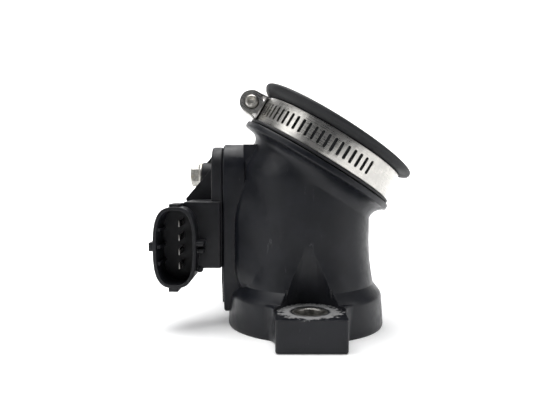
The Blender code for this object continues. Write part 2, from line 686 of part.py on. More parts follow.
def throttle_plate():
    place = Matrix.Translation(SHAFT_POINT)
    half = PLATE_THICKNESS / 2
    disc = cylinder("throttle_plate", BORE_RADIUS - 0.25 * MM, -half, half, place, sides=FINE)
    for i, x in enumerate((-PLATE_SCREW_X, PLATE_SCREW_X)):
        hole = Matrix.Translation((x, 0, SHAFT_HEIGHT))
        cut(disc, cylinder(f"plate_screw_hole_{i}", 1.5 * MM + GAP, -3 * MM, 3 * MM, hole, sides=16))
    finish(disc, "aluminium", SHAFT_POINT)


def plate_screws():
    for number, x in enumerate((-PLATE_SCREW_X, PLATE_SCREW_X), 1):
        place = Matrix.Translation((x, 0, SHAFT_HEIGHT))
        profile = [
            (0, 5.0 * MM), (2.2 * MM, 5.0 * MM), (2.7 * MM, 4.4 * MM), (2.7 * MM, 3.3 * MM),
            (1.5 * MM, 3.3 * MM), (1.5 * MM, -3.6 * MM), (0, -3.6 * MM),
        ]
        screw = turned(f"plate_screw_{number}", profile, place, sides=16)
        for i, size in enumerate(((1.7, 0.35), (0.35, 1.7))):
            low = (-size[0] * MM, -size[1] * MM, 4.2 * MM)
            high = (size[0] * MM, size[1] * MM, 6 * MM)
            cut(screw, box(f"cross_{number}_{i}", low, high, place))
        finish(screw, "zinc", SHAFT_POINT)


def shaft_bearings():
    frame = at(0, SHAFT_HEIGHT)
    inner = SHAFT_RADIUS + RUNNING
    finish(turned("near_bush", ring_profile(6.0 * MM, inner, -22.9 * MM, -20.8 * MM), frame), "bronze")
    finish(turned("far_bush", ring_profile(6.0 * MM, inner, 18.6 * MM, 21.6 * MM), frame), "bronze")
    finish(turned("shaft_seal", ring_profile(6.0 * MM, inner, -24.7 * MM, -23.2 * MM), frame),
           "seal_rubber")


# --- gear train ------------------------------------------------------------------------------

def tooth_angles(teeth):
    """Half angles of a tooth at its root and its tip."""
    return math.radians(90 / teeth) * 1.25, math.radians(90 / teeth) * 0.42


def toothed(teeth, module, first, count, y, z):
    """Points of count teeth round (y, z); the angle first is the middle of the first tooth."""
    root_radius = module * (teeth / 2 - 1.15)
    tip_radius = module * (teeth / 2 + 0.85)
    root_half, tip_half = tooth_angles(teeth)
    points = []
    for i in range(count):
        middle = first + math.tau * i / teeth
        for radius, angle in ((root_radius, middle - root_half), (tip_radius, middle - tip_half),
                              (tip_radius, middle + tip_half), (root_radius, middle + root_half)):
            points.append((y + radius * math.cos(angle), z + radius * math.sin(angle)))
    return points


def throttle_gear():
    """Toothed sector on the shaft; its first tooth is in mesh when the plate is shut."""
    pitch = math.tau / THROTTLE_TEETH
    first = TRAIN_ANGLE - pitch / 2
    teeth = toothed(THROTTLE_TEETH, GEAR_MODULE, first, SECTOR_TEETH, 0, SHAFT_HEIGHT)
    last = first + pitch * (SECTOR_TEETH - 1)
    hub_radius = 6.4 * MM
    hub_arc = []
    for step in range(13):
        angle = last + math.radians(50) + (math.tau - (last - first) - math.radians(100)) * step / 12
        hub_arc.append((hub_radius * math.cos(angle), SHAFT_HEIGHT + hub_radius * math.sin(angle)))
    gear = plate("throttle_gear", teeth + hub_arc, *SLOW_LAYER, ALONG_X)
    frame = at(0, SHAFT_HEIGHT)
    join(gear, cylinder("gear_hub", hub_radius + 0.2 * MM, SLOW_LAYER[0] - 0.2 * MM,
                        SLOW_LAYER[1] + 0.2 * MM, frame))
    cut(gear, cylinder("gear_bore", SHAFT_RADIUS + GAP, -31.1 * MM, -20 * MM, frame))
    finish(gear, "gear_plastic", SHAFT_POINT)


def shaft_magnet():
    frame = at(0, SHAFT_HEIGHT)
    finish(turned("shaft_magnet", ring_profile(4.6 * MM, 2.4 * MM, -32.9 * MM, -31.7 * MM), frame),
           "magnet", SHAFT_POINT)


def return_spring():
    """Flat spiral torsion spring round the shaft, between the casing's floor and the throttle gear."""
    wire = 0.33 * MM
    inner_radius, outer_radius = 4.75 * MM, 6.3 * MM
    turns, points_per_turn = 1.75, 18
    curve = bpy.data.curves.new("return_spring", "CURVE")
    curve.dimensions = "3D"
    curve.bevel_depth = wire
    curve.bevel_resolution = 1
    curve.use_fill_caps = True
    count = round(turns * points_per_turn) + 1
    spline = curve.splines.new("POLY")
    spline.points.add(count - 1)
    middle = (CHAMBER_FLOOR + SLOW_LAYER[1]) / 2
    for i, point in enumerate(spline.points):
        angle = math.tau * i / points_per_turn + math.radians(150)
        radius = inner_radius + (outer_radius - inner_radius) * i / (count - 1)
        point.co = (middle, radius * math.cos(angle), SHAFT_HEIGHT + radius * math.sin(angle), 1)
    finish(settle(add_object("return_spring", curve), Matrix.Identity(4)), "steel")


def intermediate_gear():
    """Small gear in mesh with the sector, large gear in mesh with the motor's pinion, one piece."""
    mesh_small = TRAIN_ANGLE + math.pi
    small = toothed(SMALL_TEETH, GEAR_MODULE, mesh_small, SMALL_TEETH, IDLER_Y, IDLER_Z)
    mesh_large = MOTOR_ANGLE
    large = toothed(LARGE_TEETH, FAST_MODULE, mesh_large, LARGE_TEETH, IDLER_Y, IDLER_Z)
    gear = plate("intermediate_gear", large, *FAST_LAYER, ALONG_X)
    join(gear, plate("small_gear", small, FAST_LAYER[1] - 0.5 * MM, SLOW_LAYER[1], ALONG_X))
    frame = at(IDLER_Y, IDLER_Z)
    cut(gear, cylinder("idler_bore", 2.0 * MM + RUNNING, -35 * MM, -20 * MM, frame))
    finish(gear, "gear_plastic", (0, IDLER_Y, IDLER_Z))


def idler_pin():
    frame = at(IDLER_Y, IDLER_Z)
    profile = [(0, -23.2 * MM), (2.0 * MM, -23.2 * MM), (2.0 * MM, -32.2 * MM), (1.6 * MM, -32.6 * MM),
               (0, -32.6 * MM)]
    finish(turned("idler_pin", profile, frame), "steel")


def motor():
    frame = at(MOTOR_Y, MOTOR_Z)
    inner = MOTOR_RADIUS - 0.9 * MM
    mouth = CHAMBER_FLOOR + 0.3 * MM
    can = [
        (2.2 * MM, MOTOR_END), (MOTOR_RADIUS - 0.6 * MM, MOTOR_END),
           (MOTOR_RADIUS, MOTOR_END - 0.6 * MM),
        (MOTOR_RADIUS, mouth), (inner, mouth), (inner, MOTOR_END - 1 * MM),
           (2.2 * MM, MOTOR_END - 1 * MM),
    ]
    finish(turned("motor_can", can, frame, sides=24), "steel")
    cap = ring_profile(inner - GAP, 1.4 * MM, mouth, mouth + 3.0 * MM)
    finish(turned("motor_end_cap", cap, frame), "chip")
    for number, start in enumerate((20, 200), 1):
        arc = []
        for radius, steps in ((inner - 0.3 * MM, range(11)), (inner - 2.2 * MM, range(10, -1, -1))):
            for step in steps:
                angle = math.radians(start + 14 * step)
                arc.append((radius * math.cos(angle), radius * math.sin(angle)))
        finish(plate(f"motor_magnet_{number}", arc, -19 * MM, 1 * MM, frame), "magnet")
    bracket = plate("motor_bracket", circle(MOTOR_RADIUS + 0.4 * MM, 24), CHAMBER_FLOOR - 1.3 * MM,
                    CHAMBER_FLOOR - GAP, frame)
    for i, (y, z) in enumerate(motor_screw_places()):
        join(bracket, cylinder(f"bracket_tab_{i}", 3.2 * MM, CHAMBER_FLOOR - 1.3 * MM,
                               CHAMBER_FLOOR - GAP, at(y, z), sides=16))
        cut(bracket, cylinder(f"bracket_hole_{i}", 1.3 * MM, -30 * MM, -20 * MM, at(y, z), sides=12))
    cut(bracket, cylinder("bracket_bore", 2.6 * MM, -30 * MM, -20 * MM, frame))
    finish(bracket, "steel")


def motor_screws():
    low = CHAMBER_FLOOR - 1.3 * MM - GAP
    for number, (y, z) in enumerate(motor_screw_places(), 1):
        profile = [
            (0, -23.2 * MM), (1.0 * MM, -23.2 * MM), (1.0 * MM, low), (2.1 * MM, low),
            (2.1 * MM, low - 0.7 * MM), (1.6 * MM, low - 1.1 * MM), (0, low - 1.1 * MM),
        ]
        finish(turned(f"motor_screw_{number}", profile, at(y, z), sides=16), "zinc")


def motor_rotor():
    frame = at(MOTOR_Y, MOTOR_Z)
    origin = (0, MOTOR_Y, MOTOR_Z)
    shaft = [
        (0, MOTOR_END - 0.4 * MM), (1.0 * MM, MOTOR_END - 0.4 * MM), (1.0 * MM, -31.2 * MM),
             (0.8 * MM, -31.5 * MM), (0, -31.5 * MM),
    ]
    finish(turned("motor_shaft", shaft, frame, sides=24), "steel", origin)
    armature = plate("motor_armature", toothed(5, 2.3 * MM, 0, 5, 0, 0), -18 * MM, 0, frame)
    cut(armature, cylinder("armature_bore", 1.3 * MM, -30 * MM, 20 * MM, frame, sides=24))
    finish(armature, "copper", origin)
    pitch = math.tau / PINION_TEETH
    teeth = toothed(PINION_TEETH, FAST_MODULE, MOTOR_ANGLE + math.pi + pitch / 2, PINION_TEETH,
                    MOTOR_Y, MOTOR_Z)
    pinion = plate("motor_pinion", teeth, *FAST_LAYER, ALONG_X)
    cut(pinion, cylinder("pinion_bore", 1.3 * MM, -40 * MM, -20 * MM, frame, sides=24))
    finish(pinion, "bronze", origin)


# --- cover, connector and electronics --------------------------------------------------------

def superellipse(half_width, half_height, sides=36):
    points = []
    for i in range(sides):
        angle = math.tau * i / sides
        c, s = math.cos(angle), math.sin(angle)
        x = half_width * math.copysign(abs(c) ** (2 / SHELL_POWER), c)
        z = half_height * math.copysign(abs(s) ** (2 / SHELL_POWER), s)
        points.append((SHELL_X + x, SHELL_Z + z))
    return points


def pin_heights():
    middle = (PIN_COUNT - 1) / 2
    return [SHELL_Z + 0.5 * MM + (middle - i) * PIN_PITCH for i in range(PIN_COUNT)]


def shell():
    body = plate("shell", superellipse(SHELL_HALF_WIDTH, SHELL_HALF_HEIGHT), -1.5 * MM, -SHELL_MOUTH,
                 ALONG_Y)
    return body


def shell_lugs():
    low_front = SHELL_MOUTH + 0.6 * MM
    return [
        box("left_lug", (-55.4 * MM, low_front, 29.4 * MM), (-53.0 * MM, -9 * MM, 32.5 * MM)),
        box("right_lug", (-39.5 * MM, low_front, 31.2 * MM), (-36.3 * MM, -11 * MM, 32.7 * MM)),
        box("right_step", (-39.5 * MM, -17 * MM, 28.4 * MM), (-36.6 * MM, -11 * MM, 30.0 * MM)),
        box("top_lug", (-48.2 * MM, low_front, 44.2 * MM), (-44.6 * MM, -9 * MM, 45.9 * MM)),
        box("bottom_lug", (-48.6 * MM, low_front, 15.2 * MM), (-45.2 * MM, -9 * MM, 17.4 * MM)),
        box("bottom_tab", (-39.6 * MM, -12.5 * MM, 20.9 * MM), (-37.8 * MM, -8 * MM, 23.0 * MM)),
    ]


def cover():
    outline = rounded(millimetres(COVER_OUTLINE))
    body = plate("cover", outline, COVER_FACE, COVER_SEAT, ALONG_X)
    plug = rounded(millimetres(CASING_OUTLINE), CASING_WALL + GAP)
    block = [(-31.2, 46.3, 0), (-44.0, 46.3, 0.6), (-46.0, 44.4, 0.6), (-46.0, 24.0, 0.6),
             (-44.0, 22.3, 0.6),
             (-31.2, 22.3, 0)]
    web = [(-34.5, 60.9, 0), (-46.7, 46.7, 0.4), (-46.0, 44.0, 0), (-34.5, 44.0, 0)]
    rib = [(-34.5, 65.3, 0), (-35.4, 65.3, 0.3), (-40.4, 59.4, 0), (-34.5, 57.0, 0)]
    join(body,
         plate("lower_plate", plug, COVER_SEAT - 0.4 * MM, PLUG_INNER, ALONG_X),
         plate("block", rounded(millimetres(block), steps=3), -BLOCK_REAR, -BLOCK_FRONT, ALONG_Y),
         plate("web", rounded(millimetres(web), steps=2), -BLOCK_REAR, -BLOCK_REAR + 1.8 * MM, ALONG_Y),
         shell(), *shell_lugs())
    for i, (y, z, height) in enumerate(COVER_SCREWS):
        join(body, cylinder(f"boss_{i}", 5.1 * MM, COVER_FACE - height, COVER_SEAT - 0.2 * MM,
                            at(y, z)))
    y, z, height = COVER_SCREWS[0]
    join(body, plate("rib", rounded(millimetres(rib), steps=2), -y - 1 * MM, -y + 1 * MM, ALONG_Y))
    cavity = rounded(millimetres(COVER_OUTLINE), 2.2 * MM)
    cavity_tool = plate("cavity", cavity, COVER_CEILING, PLUG_INNER + 1 * MM, ALONG_X)
    for i, (y, z, height) in enumerate(COVER_SCREWS):
        cut(cavity_tool, cylinder(f"cavity_post_{i}", POST_RADIUS + 0.4 * MM, -40 * MM, COVER_SEAT,
                                  at(y, z)))
    cut(body, cavity_tool,
        box("block_cavity", (-39.2 * MM, -10.2 * MM, 23.8 * MM), (-33.0 * MM, 7.8 * MM, 44.6 * MM)),
        plate("socket", superellipse(SHELL_HALF_WIDTH - SHELL_WALL, SHELL_HALF_HEIGHT - SHELL_WALL),
              -SHELL_FLOOR, -SHELL_MOUTH + 1 * MM, ALONG_Y))
    for i, z in enumerate(pin_heights()):
        low, high = z - 1.4 * MM, z + 1.4 * MM
        cut(body,
            box(f"pin_way_{i}", (PIN_X - 0.65 * MM, -7 * MM, low),
                (PIN_X + 0.65 * MM, -3.7 * MM, high)),
            box(f"pin_bend_{i}", (PIN_X - 0.6 * MM, -5.0 * MM, z + 0.2 * MM),
                (-38.9 * MM, -3.9 * MM, z + 1.3 * MM)))
    for i, (y, z, height) in enumerate(COVER_SCREWS):
        cut(body, cylinder(f"cover_hole_{i}", SCREW_RADIUS + GAP, -50 * MM, -28 * MM, at(y, z),
                           sides=14))
    swept = FAST_MODULE * (LARGE_TEETH / 2 + 1) + 0.5 * MM
    cut(body, cylinder("gear_clearance", swept, COVER_CEILING + 0.2 * MM, PLUG_INNER + 1 * MM,
                       at(IDLER_Y, IDLER_Z), sides=40))
    finish(body, "cover_plastic")


def cover_gasket():
    gasket = plate("cover_gasket", rounded(millimetres(CASING_OUTLINE), 1.1 * MM), PARTING,
                   PARTING + 0.8 * MM,
                   ALONG_X)
    cut(gasket, plate("gasket_core", rounded(millimetres(CASING_OUTLINE), 1.9 * MM), PARTING - 1 * MM,
                      PARTING + 2 * MM, ALONG_X))
    finish(gasket, "seal_rubber")


def cover_screws():
    for number, (y, z, height) in enumerate(COVER_SCREWS, 1):
        seat = COVER_FACE - height - GAP
        head = seat - 1.4 * MM
        profile = [
            (0, CASING_BACK), (SCREW_RADIUS, CASING_BACK), (SCREW_RADIUS, seat), (4.9 * MM, seat),
            (4.9 * MM, seat - 0.8 * MM), (4.3 * MM, head), (0, head),
        ]
        screw = turned(f"cover_screw_{number}", profile, at(y, z), sides=20)
        join(screw, cylinder(f"hexagon_{number}", 4.62 * MM, head - 3.0 * MM, head + 0.4 * MM,
                             at(y, z), sides=6))
        cut(screw, cylinder(f"dish_{number}", 2.9 * MM, head - 4 * MM, head - 2.5 * MM, at(y, z),
                            sides=16))
        finish(screw, "zinc")


def terminals():
    """Four blades in the connector's socket, each with a narrow tail to the board."""
    half = 0.35 * MM
    for number, z in enumerate(pin_heights(), 1):
        blade = box(f"terminal_{number}", (PIN_X - half, -15.6 * MM, z - 1.15 * MM),
                    (PIN_X + half, -4.1 * MM, z + 1.15 * MM))
        join(blade, box(f"tail_{number}", (PIN_X, -4.7 * MM, z + 0.5 * MM),
                        (-36.3 * MM, -4.2 * MM, z + 1.0 * MM)))
        finish(blade, "tin")


def electronics():
    low_x, high_x = BOARD_X
    finish(box("circuit_board", (low_x, -9.2 * MM, 25.0 * MM), (high_x, 6.8 * MM, 43.6 * MM)), "board")
    finish(box("position_sensor", (high_x + 0.2 * MM, -2.5 * MM, SHAFT_HEIGHT - 2.2 * MM),
               (high_x + 1.0 * MM, 2.5 * MM, SHAFT_HEIGHT + 2.2 * MM)), "chip")
    finish(box("motor_driver", (low_x - 1.6 * MM, -1.5 * MM, 27.0 * MM),
               (low_x - 0.3 * MM, 5.5 * MM, 34.0 * MM)), "chip")
    finish(cylinder("board_capacitor", 2.0 * MM, low_x - 2.8 * MM, low_x - 0.3 * MM,
                    at(2.0 * MM, 39.5 * MM), sides=24),
           "aluminium")


clear_scene()
parts = new_collection("throttle_body")
cutters = new_collection("cutters")
materials = {name: make_material(name) for name in FINISHES}

housing()
mounting_sleeves()
manifold_seal()
hose_end()
clamp_band()
clamp_housing()
clamp_worm()
throttle_shaft()
throttle_plate()
plate_screws()
shaft_bearings()
throttle_gear()
shaft_magnet()
return_spring()
intermediate_gear()
idler_pin()
motor()
motor_screws()
motor_rotor()
cover()
cover_gasket()
cover_screws()
terminals()
electronics()
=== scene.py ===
import json
import math

import bmesh
import bpy
from mathutils import Matrix, Vector

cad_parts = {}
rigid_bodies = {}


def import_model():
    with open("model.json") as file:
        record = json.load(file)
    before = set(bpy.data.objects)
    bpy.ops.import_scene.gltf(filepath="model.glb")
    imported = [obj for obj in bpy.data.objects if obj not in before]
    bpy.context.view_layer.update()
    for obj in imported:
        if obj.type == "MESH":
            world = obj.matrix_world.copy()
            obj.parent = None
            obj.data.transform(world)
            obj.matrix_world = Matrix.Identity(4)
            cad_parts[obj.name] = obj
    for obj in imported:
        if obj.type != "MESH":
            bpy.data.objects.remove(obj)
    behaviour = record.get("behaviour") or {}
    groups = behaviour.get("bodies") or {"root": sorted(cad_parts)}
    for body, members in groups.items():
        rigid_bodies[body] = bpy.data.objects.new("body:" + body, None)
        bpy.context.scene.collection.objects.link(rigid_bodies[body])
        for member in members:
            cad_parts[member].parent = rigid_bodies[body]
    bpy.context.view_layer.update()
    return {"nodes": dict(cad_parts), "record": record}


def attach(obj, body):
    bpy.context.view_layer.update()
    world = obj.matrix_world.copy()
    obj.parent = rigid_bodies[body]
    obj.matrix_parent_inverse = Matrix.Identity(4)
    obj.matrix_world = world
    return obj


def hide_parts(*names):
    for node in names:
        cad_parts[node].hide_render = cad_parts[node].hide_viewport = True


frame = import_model()

MM = 0.001
GAP = 0.3 * MM                     # between pieces that touch or seat in one another
FINE = 112                         # sides of the large round parts
ROUND = 48                         # sides of the small round parts

# bore, body and flange
BORE_RADIUS = 18.0 * MM
FLANGE_RADIUS = 29.3 * MM
FLANGE_TOP_RADIUS = 28.6 * MM
FLANGE_HEIGHT = 12.05 * MM
EAR_CORNER = 27.5 * MM             # where the ear's side turns to the flange, before rounding
SHOULDER_TOP = 16.2 * MM
BODY_FOOT_RADIUS = 25.7 * MM
BODY_RADIUS = 24.0 * MM
EAR_HALF_WIDTH = 11.5 * MM
EAR_REACH = 40.3 * MM
EAR_HEIGHT = 10.8 * MM
EAR_FILLET = 11.0 * MM
UNDERCUT = 0.7 * MM                # extra stock, cut off at the face and above the ears
BOLT_OFFSET = 29.0 * MM            # bolt hole axis from the bore axis
SLEEVE_RADIUS = 6.0 * MM
SLEEVE_HOLE_RADIUS = 4.5 * MM
RECESS_FOOT_RADIUS = 10.0 * MM     # cone that clears the bolt head, at the ear's top
RECESS_TOP_RADIUS = 4.8 * MM
RECESS_TOP = 31.5 * MM

# inlet neck, on an axis that leans from the bore axis
TILT = math.radians(31.3)
BEND_HEIGHT = 52.75 * MM
COLLAR_FOOT = 6.5 * MM             # distances along the neck from the bend
COLLAR_TOP = 8.8 * MM
COLLAR_RADIUS = 30.6 * MM
NECK_RADIUS = 25.4 * MM
NECK_BORE_RADIUS = 22.6 * MM
NECK_TOP = 21.8 * MM

# rubber hose end and its clamp
HOSE_RADIUS = 27.3 * MM
HOSE_FOOT = 9.4 * MM
HOSE_TOP = 23.2 * MM
HOSE_LIP_RADIUS = 31.6 * MM
LIP_RISE = 1.3 * MM                # how much higher the lip stands on the clamp screw's side
RISE_START = 20.4 * MM             # distance along the neck where the rise begins
RISE_LENGTH = 0.8 * MM             # and the length over which it grows to the full amount
BAND_MIDDLE = 15.15 * MM
BAND_WIDTH = 9.5 * MM
BAND_INNER_RADIUS = 27.6 * MM
BAND_THICKNESS = 0.6 * MM
SLOT_COUNT = 22
SLOT_PITCH = math.radians(5.1)
FIRST_SLOT = math.radians(60.0)
SLOT_LENGTH = 5.0 * MM
SLOT_WIDTH = 1.1 * MM
WORM_OFFSET = 32.7 * MM            # worm axis from the neck axis
WORM_BARREL_RADIUS = 4.5 * MM

# gear casing; its parting plane faces -X
PARTING = -30.6 * MM
CASING_BACK = -22.3 * MM
CHAMBER_FLOOR = -24.9 * MM
CASING_WALL = 3.0 * MM
SHAFT_HEIGHT = 30.0 * MM
SHAFT_RADIUS = 4.0 * MM
CHEEK_CENTRE = (-22.2 * MM, -9.5 * MM)     # of the cheek's round edge where it is fullest, x and y
CHEEK_EDGE_RADIUS = 4.0 * MM
CHEEK_LEVELS = [                   # height, and how far out the edge stands as a share of the fullest
    (14.5 * MM, 0.90), (17.0 * MM, 0.96), (20.0 * MM, 0.99), (24.0 * MM, 1.0), (38.0 * MM, 1.0),
    (42.0 * MM, 0.985), (46.0 * MM, 0.945), (50.0 * MM, 0.89), (54.0 * MM, 0.838),
]
CASING_OUTLINE = [                 # y, z and corner radius, anticlockwise seen from +X
    (-10.0, 17.0, 6.0), (-5.5, 4.9, 2.0), (20.0, 4.9, 6.0), (50.0, 20.0, 6.0),
    (54.0, 34.0, 6.0), (54.0, 67.4, 12.0), (-10.0, 67.4, 9.0),
]
COVER_OUTLINE = [
    (-10.0, 22.3, 1.0), (9.0, 22.3, 3.0), (22.0, 19.6, 4.0), (36.0, 17.0, 4.0), (49.4, 21.0, 5.0),
    (53.6, 34.0, 6.0), (53.6, 66.3, 11.0), (-9.8, 66.3, 8.0),
]
COVER_FACE = -34.7 * MM
COVER_SEAT = PARTING - GAP
PLUG_INNER = -29.3 * MM            # inner face of the cover's lower plate

# gear train
GEAR_MODULE = 1.0 * MM
FAST_MODULE = 0.8 * MM
THROTTLE_TEETH = 34
SMALL_TEETH = 10
LARGE_TEETH = 32
PINION_TEETH = 10
TRAIN_ANGLE = math.radians(15.0)   # direction of the intermediate axis from the shaft
MOTOR_ANGLE = math.radians(28.0)   # direction of the motor axis from the intermediate axis
SLOW_DISTANCE = GEAR_MODULE * (THROTTLE_TEETH + SMALL_TEETH) / 2
FAST_DISTANCE = FAST_MODULE * (LARGE_TEETH + PINION_TEETH) / 2
IDLER_Y = SLOW_DISTANCE * math.cos(TRAIN_ANGLE)
IDLER_Z = SHAFT_HEIGHT + SLOW_DISTANCE * math.sin(TRAIN_ANGLE)
MOTOR_Y = IDLER_Y + FAST_DISTANCE * math.cos(MOTOR_ANGLE)
MOTOR_Z = IDLER_Z + FAST_DISTANCE * math.sin(MOTOR_ANGLE)
MOTOR_RADIUS = 11.4 * MM
MOTOR_END = 3.0 * MM
BARREL_RADIUS = MOTOR_RADIUS + 2.6 * MM     # outside of the moulding round the motor
# low and high corners
BARREL_RIB = ((-24 * MM, 20 * MM, 18 * MM), (-19 * MM, 36 * MM, 40 * MM))
NECK_BRIDGE = ((-23 * MM, -9.3 * MM, 47 * MM), (-17.5 * MM, 11 * MM, 67.0 * MM))

# connector block on the cover
BLOCK_FRONT = -12.0 * MM
BLOCK_REAR = 9.6 * MM
SHELL_X = -46.35 * MM
SHELL_Z = 30.75 * MM
SHELL_HALF_WIDTH = 7.5 * MM
SHELL_HALF_HEIGHT = 14.1 * MM
SHELL_POWER = 2.9                  # between an ellipse, 2, and a rectangle
SHELL_WALL = 1.1 * MM
SHELL_MOUTH = -20.0 * MM
SHELL_FLOOR = -6.5 * MM
PIN_X = -45.4 * MM
PIN_PITCH = 5.0 * MM
PIN_COUNT = 4
BLADE_THICKNESS = 0.5 * MM
BLADE_WIDTH = 2.3 * MM
BLADE_TIP = -15.6 * MM
COVER_SCREWS = [                   # y, z and how far its boss stands out of the cover
    (14.5 * MM, 55.9 * MM, 6.0 * MM), (46.0 * MM, 59.0 * MM, 0.4 * MM),
    (40.0 * MM, 25.0 * MM, 0.4 * MM),
]
SCREW_RADIUS = 2.0 * MM
HEXAGON_RADIUS = 4.62 * MM         # to the corners of a hexagon 8 mm across its flats
COVER_BOSS_RADIUS = 5.1 * MM
POST_RADIUS = 4.2 * MM

# butterfly
PLATE_THICKNESS = 1.5 * MM
PLATE_CLEARANCE = 0.25 * MM
PLATE_SCREW_X = 7.5 * MM

# camera, from the fit to the photo
CAMERA_PLACE = (-11.55 * MM, -205.2 * MM, 55.33 * MM)
CAMERA_DIP = 3.17                  # degrees below level
SENSOR_WIDTH = 36.0                # millimetres, as Blender takes them
FOCAL_LENGTH = 35.35

# local z to world x, local x to world y
ALONG_X = Matrix(((0, 0, 1), (1, 0, 0), (0, 1, 0))).to_4x4()
# local z to world -y, local y to world z
ALONG_Y = Matrix(((1, 0, 0), (0, 0, -1), (0, 1, 0))).to_4x4()
NECK = Matrix.Translation((0, 0, BEND_HEIGHT)) @ Matrix.Rotation(TILT, 4, "Y")
CLAMP = NECK @ Matrix.Translation((0, 0, BAND_MIDDLE)) @ Matrix.Rotation(math.pi, 4, "Z")


workshop = bpy.data.collections.new("workshop")
bpy.context.scene.collection.children.link(workshop)
finishes = {}


# --- modelling helpers -----------------------------------------------------------------------

def add_object(name, mesh):
    obj = bpy.data.objects.new(name, mesh)
    workshop.objects.link(obj)
    return obj


def combine(obj, tool, operation):
    modifier = obj.modifiers.new(tool.name, "BOOLEAN")
    modifier.operation = operation
    modifier.object = tool
    modifier.solver = "EXACT"
    tool.hide_render = True


def cut(obj, *tools):
    for tool in tools:
        combine(obj, tool, "DIFFERENCE")


def join(obj, *tools):
    for tool in tools:
        combine(obj, tool, "UNION")


def baked(obj):
    bpy.context.view_layer.update()
    evaluated = obj.evaluated_get(bpy.context.evaluated_depsgraph_get())
    mesh = bpy.data.meshes.new_from_object(evaluated)
    bpy.data.objects.remove(obj, do_unlink=True)
    return mesh


def piece(obj, name, finish, body, *nodes, sharp=30):
    """Bake the modifiers and let the result ride on its body in place of the CAD nodes."""
    mesh = baked(obj)
    mesh.name = name
    mesh.materials.clear()
    mesh.materials.append(finishes[finish])
    mesh.shade_smooth()
    mesh.set_sharp_from_angle(angle=math.radians(sharp))
    made = bpy.data.objects.new(name, mesh)
    bpy.context.scene.collection.objects.link(made)
    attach(made, body)
    if nodes:
        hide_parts(*nodes)


def mesh_object(name, fill, matrix=Matrix.Identity(4)):
    mesh = bpy.data.meshes.new(name)
    bm = bmesh.new()
    fill(bm)
    bmesh.ops.transform(bm, matrix=matrix, verts=bm.verts)
    bmesh.ops.recalc_face_normals(bm, faces=bm.faces)
    bm.to_mesh(mesh)
    bm.free()
    return add_object(name, mesh)


def box(name, low, high, matrix=Matrix.Identity(4), edge=0.0):
    """Box between two corners, with its edges rounded by edge."""
    low, high = Vector(low), Vector(high)

    def fill(bm):
        size = Matrix.Diagonal((*(high - low), 1.0))
        bmesh.ops.create_cube(bm, size=1.0, matrix=Matrix.Translation((low + high) / 2) @ size)
        if edge > 0:
            bmesh.ops.bevel(bm, geom=bm.edges[:], offset=edge, segments=2, profile=0.5,
                            affect="EDGES")

    return mesh_object(name, fill, matrix)


def brick(name, low, high, edge=0.3 * MM, matrix=Matrix.Identity(4)):
    """Box with rounded edges."""
    return box(name, low, high, matrix, edge)


def cylinder(name, radius, start, end, matrix=Matrix.Identity(4), sides=ROUND, end_radius=None):
    """A cylinder or cone on the matrix's local z axis, from start to end."""
    middle = Matrix.Translation((0, 0, (start + end) / 2))

    def fill(bm):
        bmesh.ops.create_cone(bm, cap_ends=True, segments=sides, radius1=radius,
                              radius2=radius if end_radius is None else end_radius,
                              depth=end - start, matrix=middle)

    return mesh_object(name, fill, matrix)


def turned(name, profile, matrix=Matrix.Identity(4), sides=ROUND):
    """Turn (radius, height) points about the local z axis with a Screw modifier.

    The points run down the outer side. A ring's profile is closed; a solid's starts and ends on the axis.
    """
    ring = all(radius > 0 for radius, _ in profile)
    mesh = bpy.data.meshes.new(name)
    points = [(radius, 0, height) for radius, height in profile]
    edges = [(i, i + 1) for i in range(len(points) - 1)]
    if ring:
        edges.append((len(points) - 1, 0))
    mesh.from_pydata(points, edges, [])
    obj = add_object(name, mesh)
    screw = obj.modifiers.new("Screw", "SCREW")
    screw.steps = sides
    screw.render_steps = sides
    screw.use_merge_vertices = True
    screw.merge_threshold = 0.00001
    screw.use_normal_calculate = False
    return settle(obj, matrix)


def settle(obj, matrix):
    """Replace a curve, or an object with modifiers, by its finished mesh moved by the matrix."""
    name = obj.name
    mesh = baked(obj)
    bm = bmesh.new()
    bm.from_mesh(mesh)
    bmesh.ops.remove_doubles(bm, verts=bm.verts, dist=0.000001)
    bmesh.ops.transform(bm, matrix=matrix, verts=bm.verts)
    bmesh.ops.recalc_face_normals(bm, faces=bm.faces)
    bm.to_mesh(mesh)
    bm.free()
    return add_object(name, mesh)


def plate(name, outline, start, end, matrix=Matrix.Identity(4), edge=0.0):
    """Extrude a flat outline along the matrix's local z axis, with its edges rounded by edge."""
    curve = bpy.data.curves.new(name, "CURVE")
    curve.dimensions = "2D"
    curve.fill_mode = "BOTH"
    curve.extrude = (end - start) / 2 - edge
    curve.bevel_depth = edge
    curve.bevel_resolution = 2
    curve.offset = -edge
    spline = curve.splines.new("POLY")
    spline.points.add(len(outline) - 1)
    for point, (x, y) in zip(spline.points, outline):
        point.co = (x, y, 0, 1)
    spline.use_cyclic_u = True
    return settle(add_object(name, curve), matrix @ Matrix.Translation((0, 0, (start + end) / 2)))


def softened(profile, reach, steps=3):
    """Round the corners of a turned profile, except its two ends, by at most reach."""
    points = [Vector(point) for point in profile]
    soft = [tuple(points[0])]
    for before, corner, after in zip(points, points[1:], points[2:]):
        back = min(reach, (before - corner).length * 0.45)
        ahead = min(reach, (after - corner).length * 0.45)
        first = corner + (before - corner).normalized() * back
        last = corner + (after - corner).normalized() * ahead
        for step in range(steps + 1):
            share = step / steps
            spot = first * (1 - share) ** 2 + corner * 2 * share * (1 - share) + last * share ** 2
            soft.append(tuple(spot))
    soft.append(tuple(points[-1]))
    return soft


def softened_ring(profile, reach, steps=3):
    """The same for a closed profile."""
    closed = [profile[-1], *profile, profile[0]]
    return softened(closed, reach, steps)[1:-1]


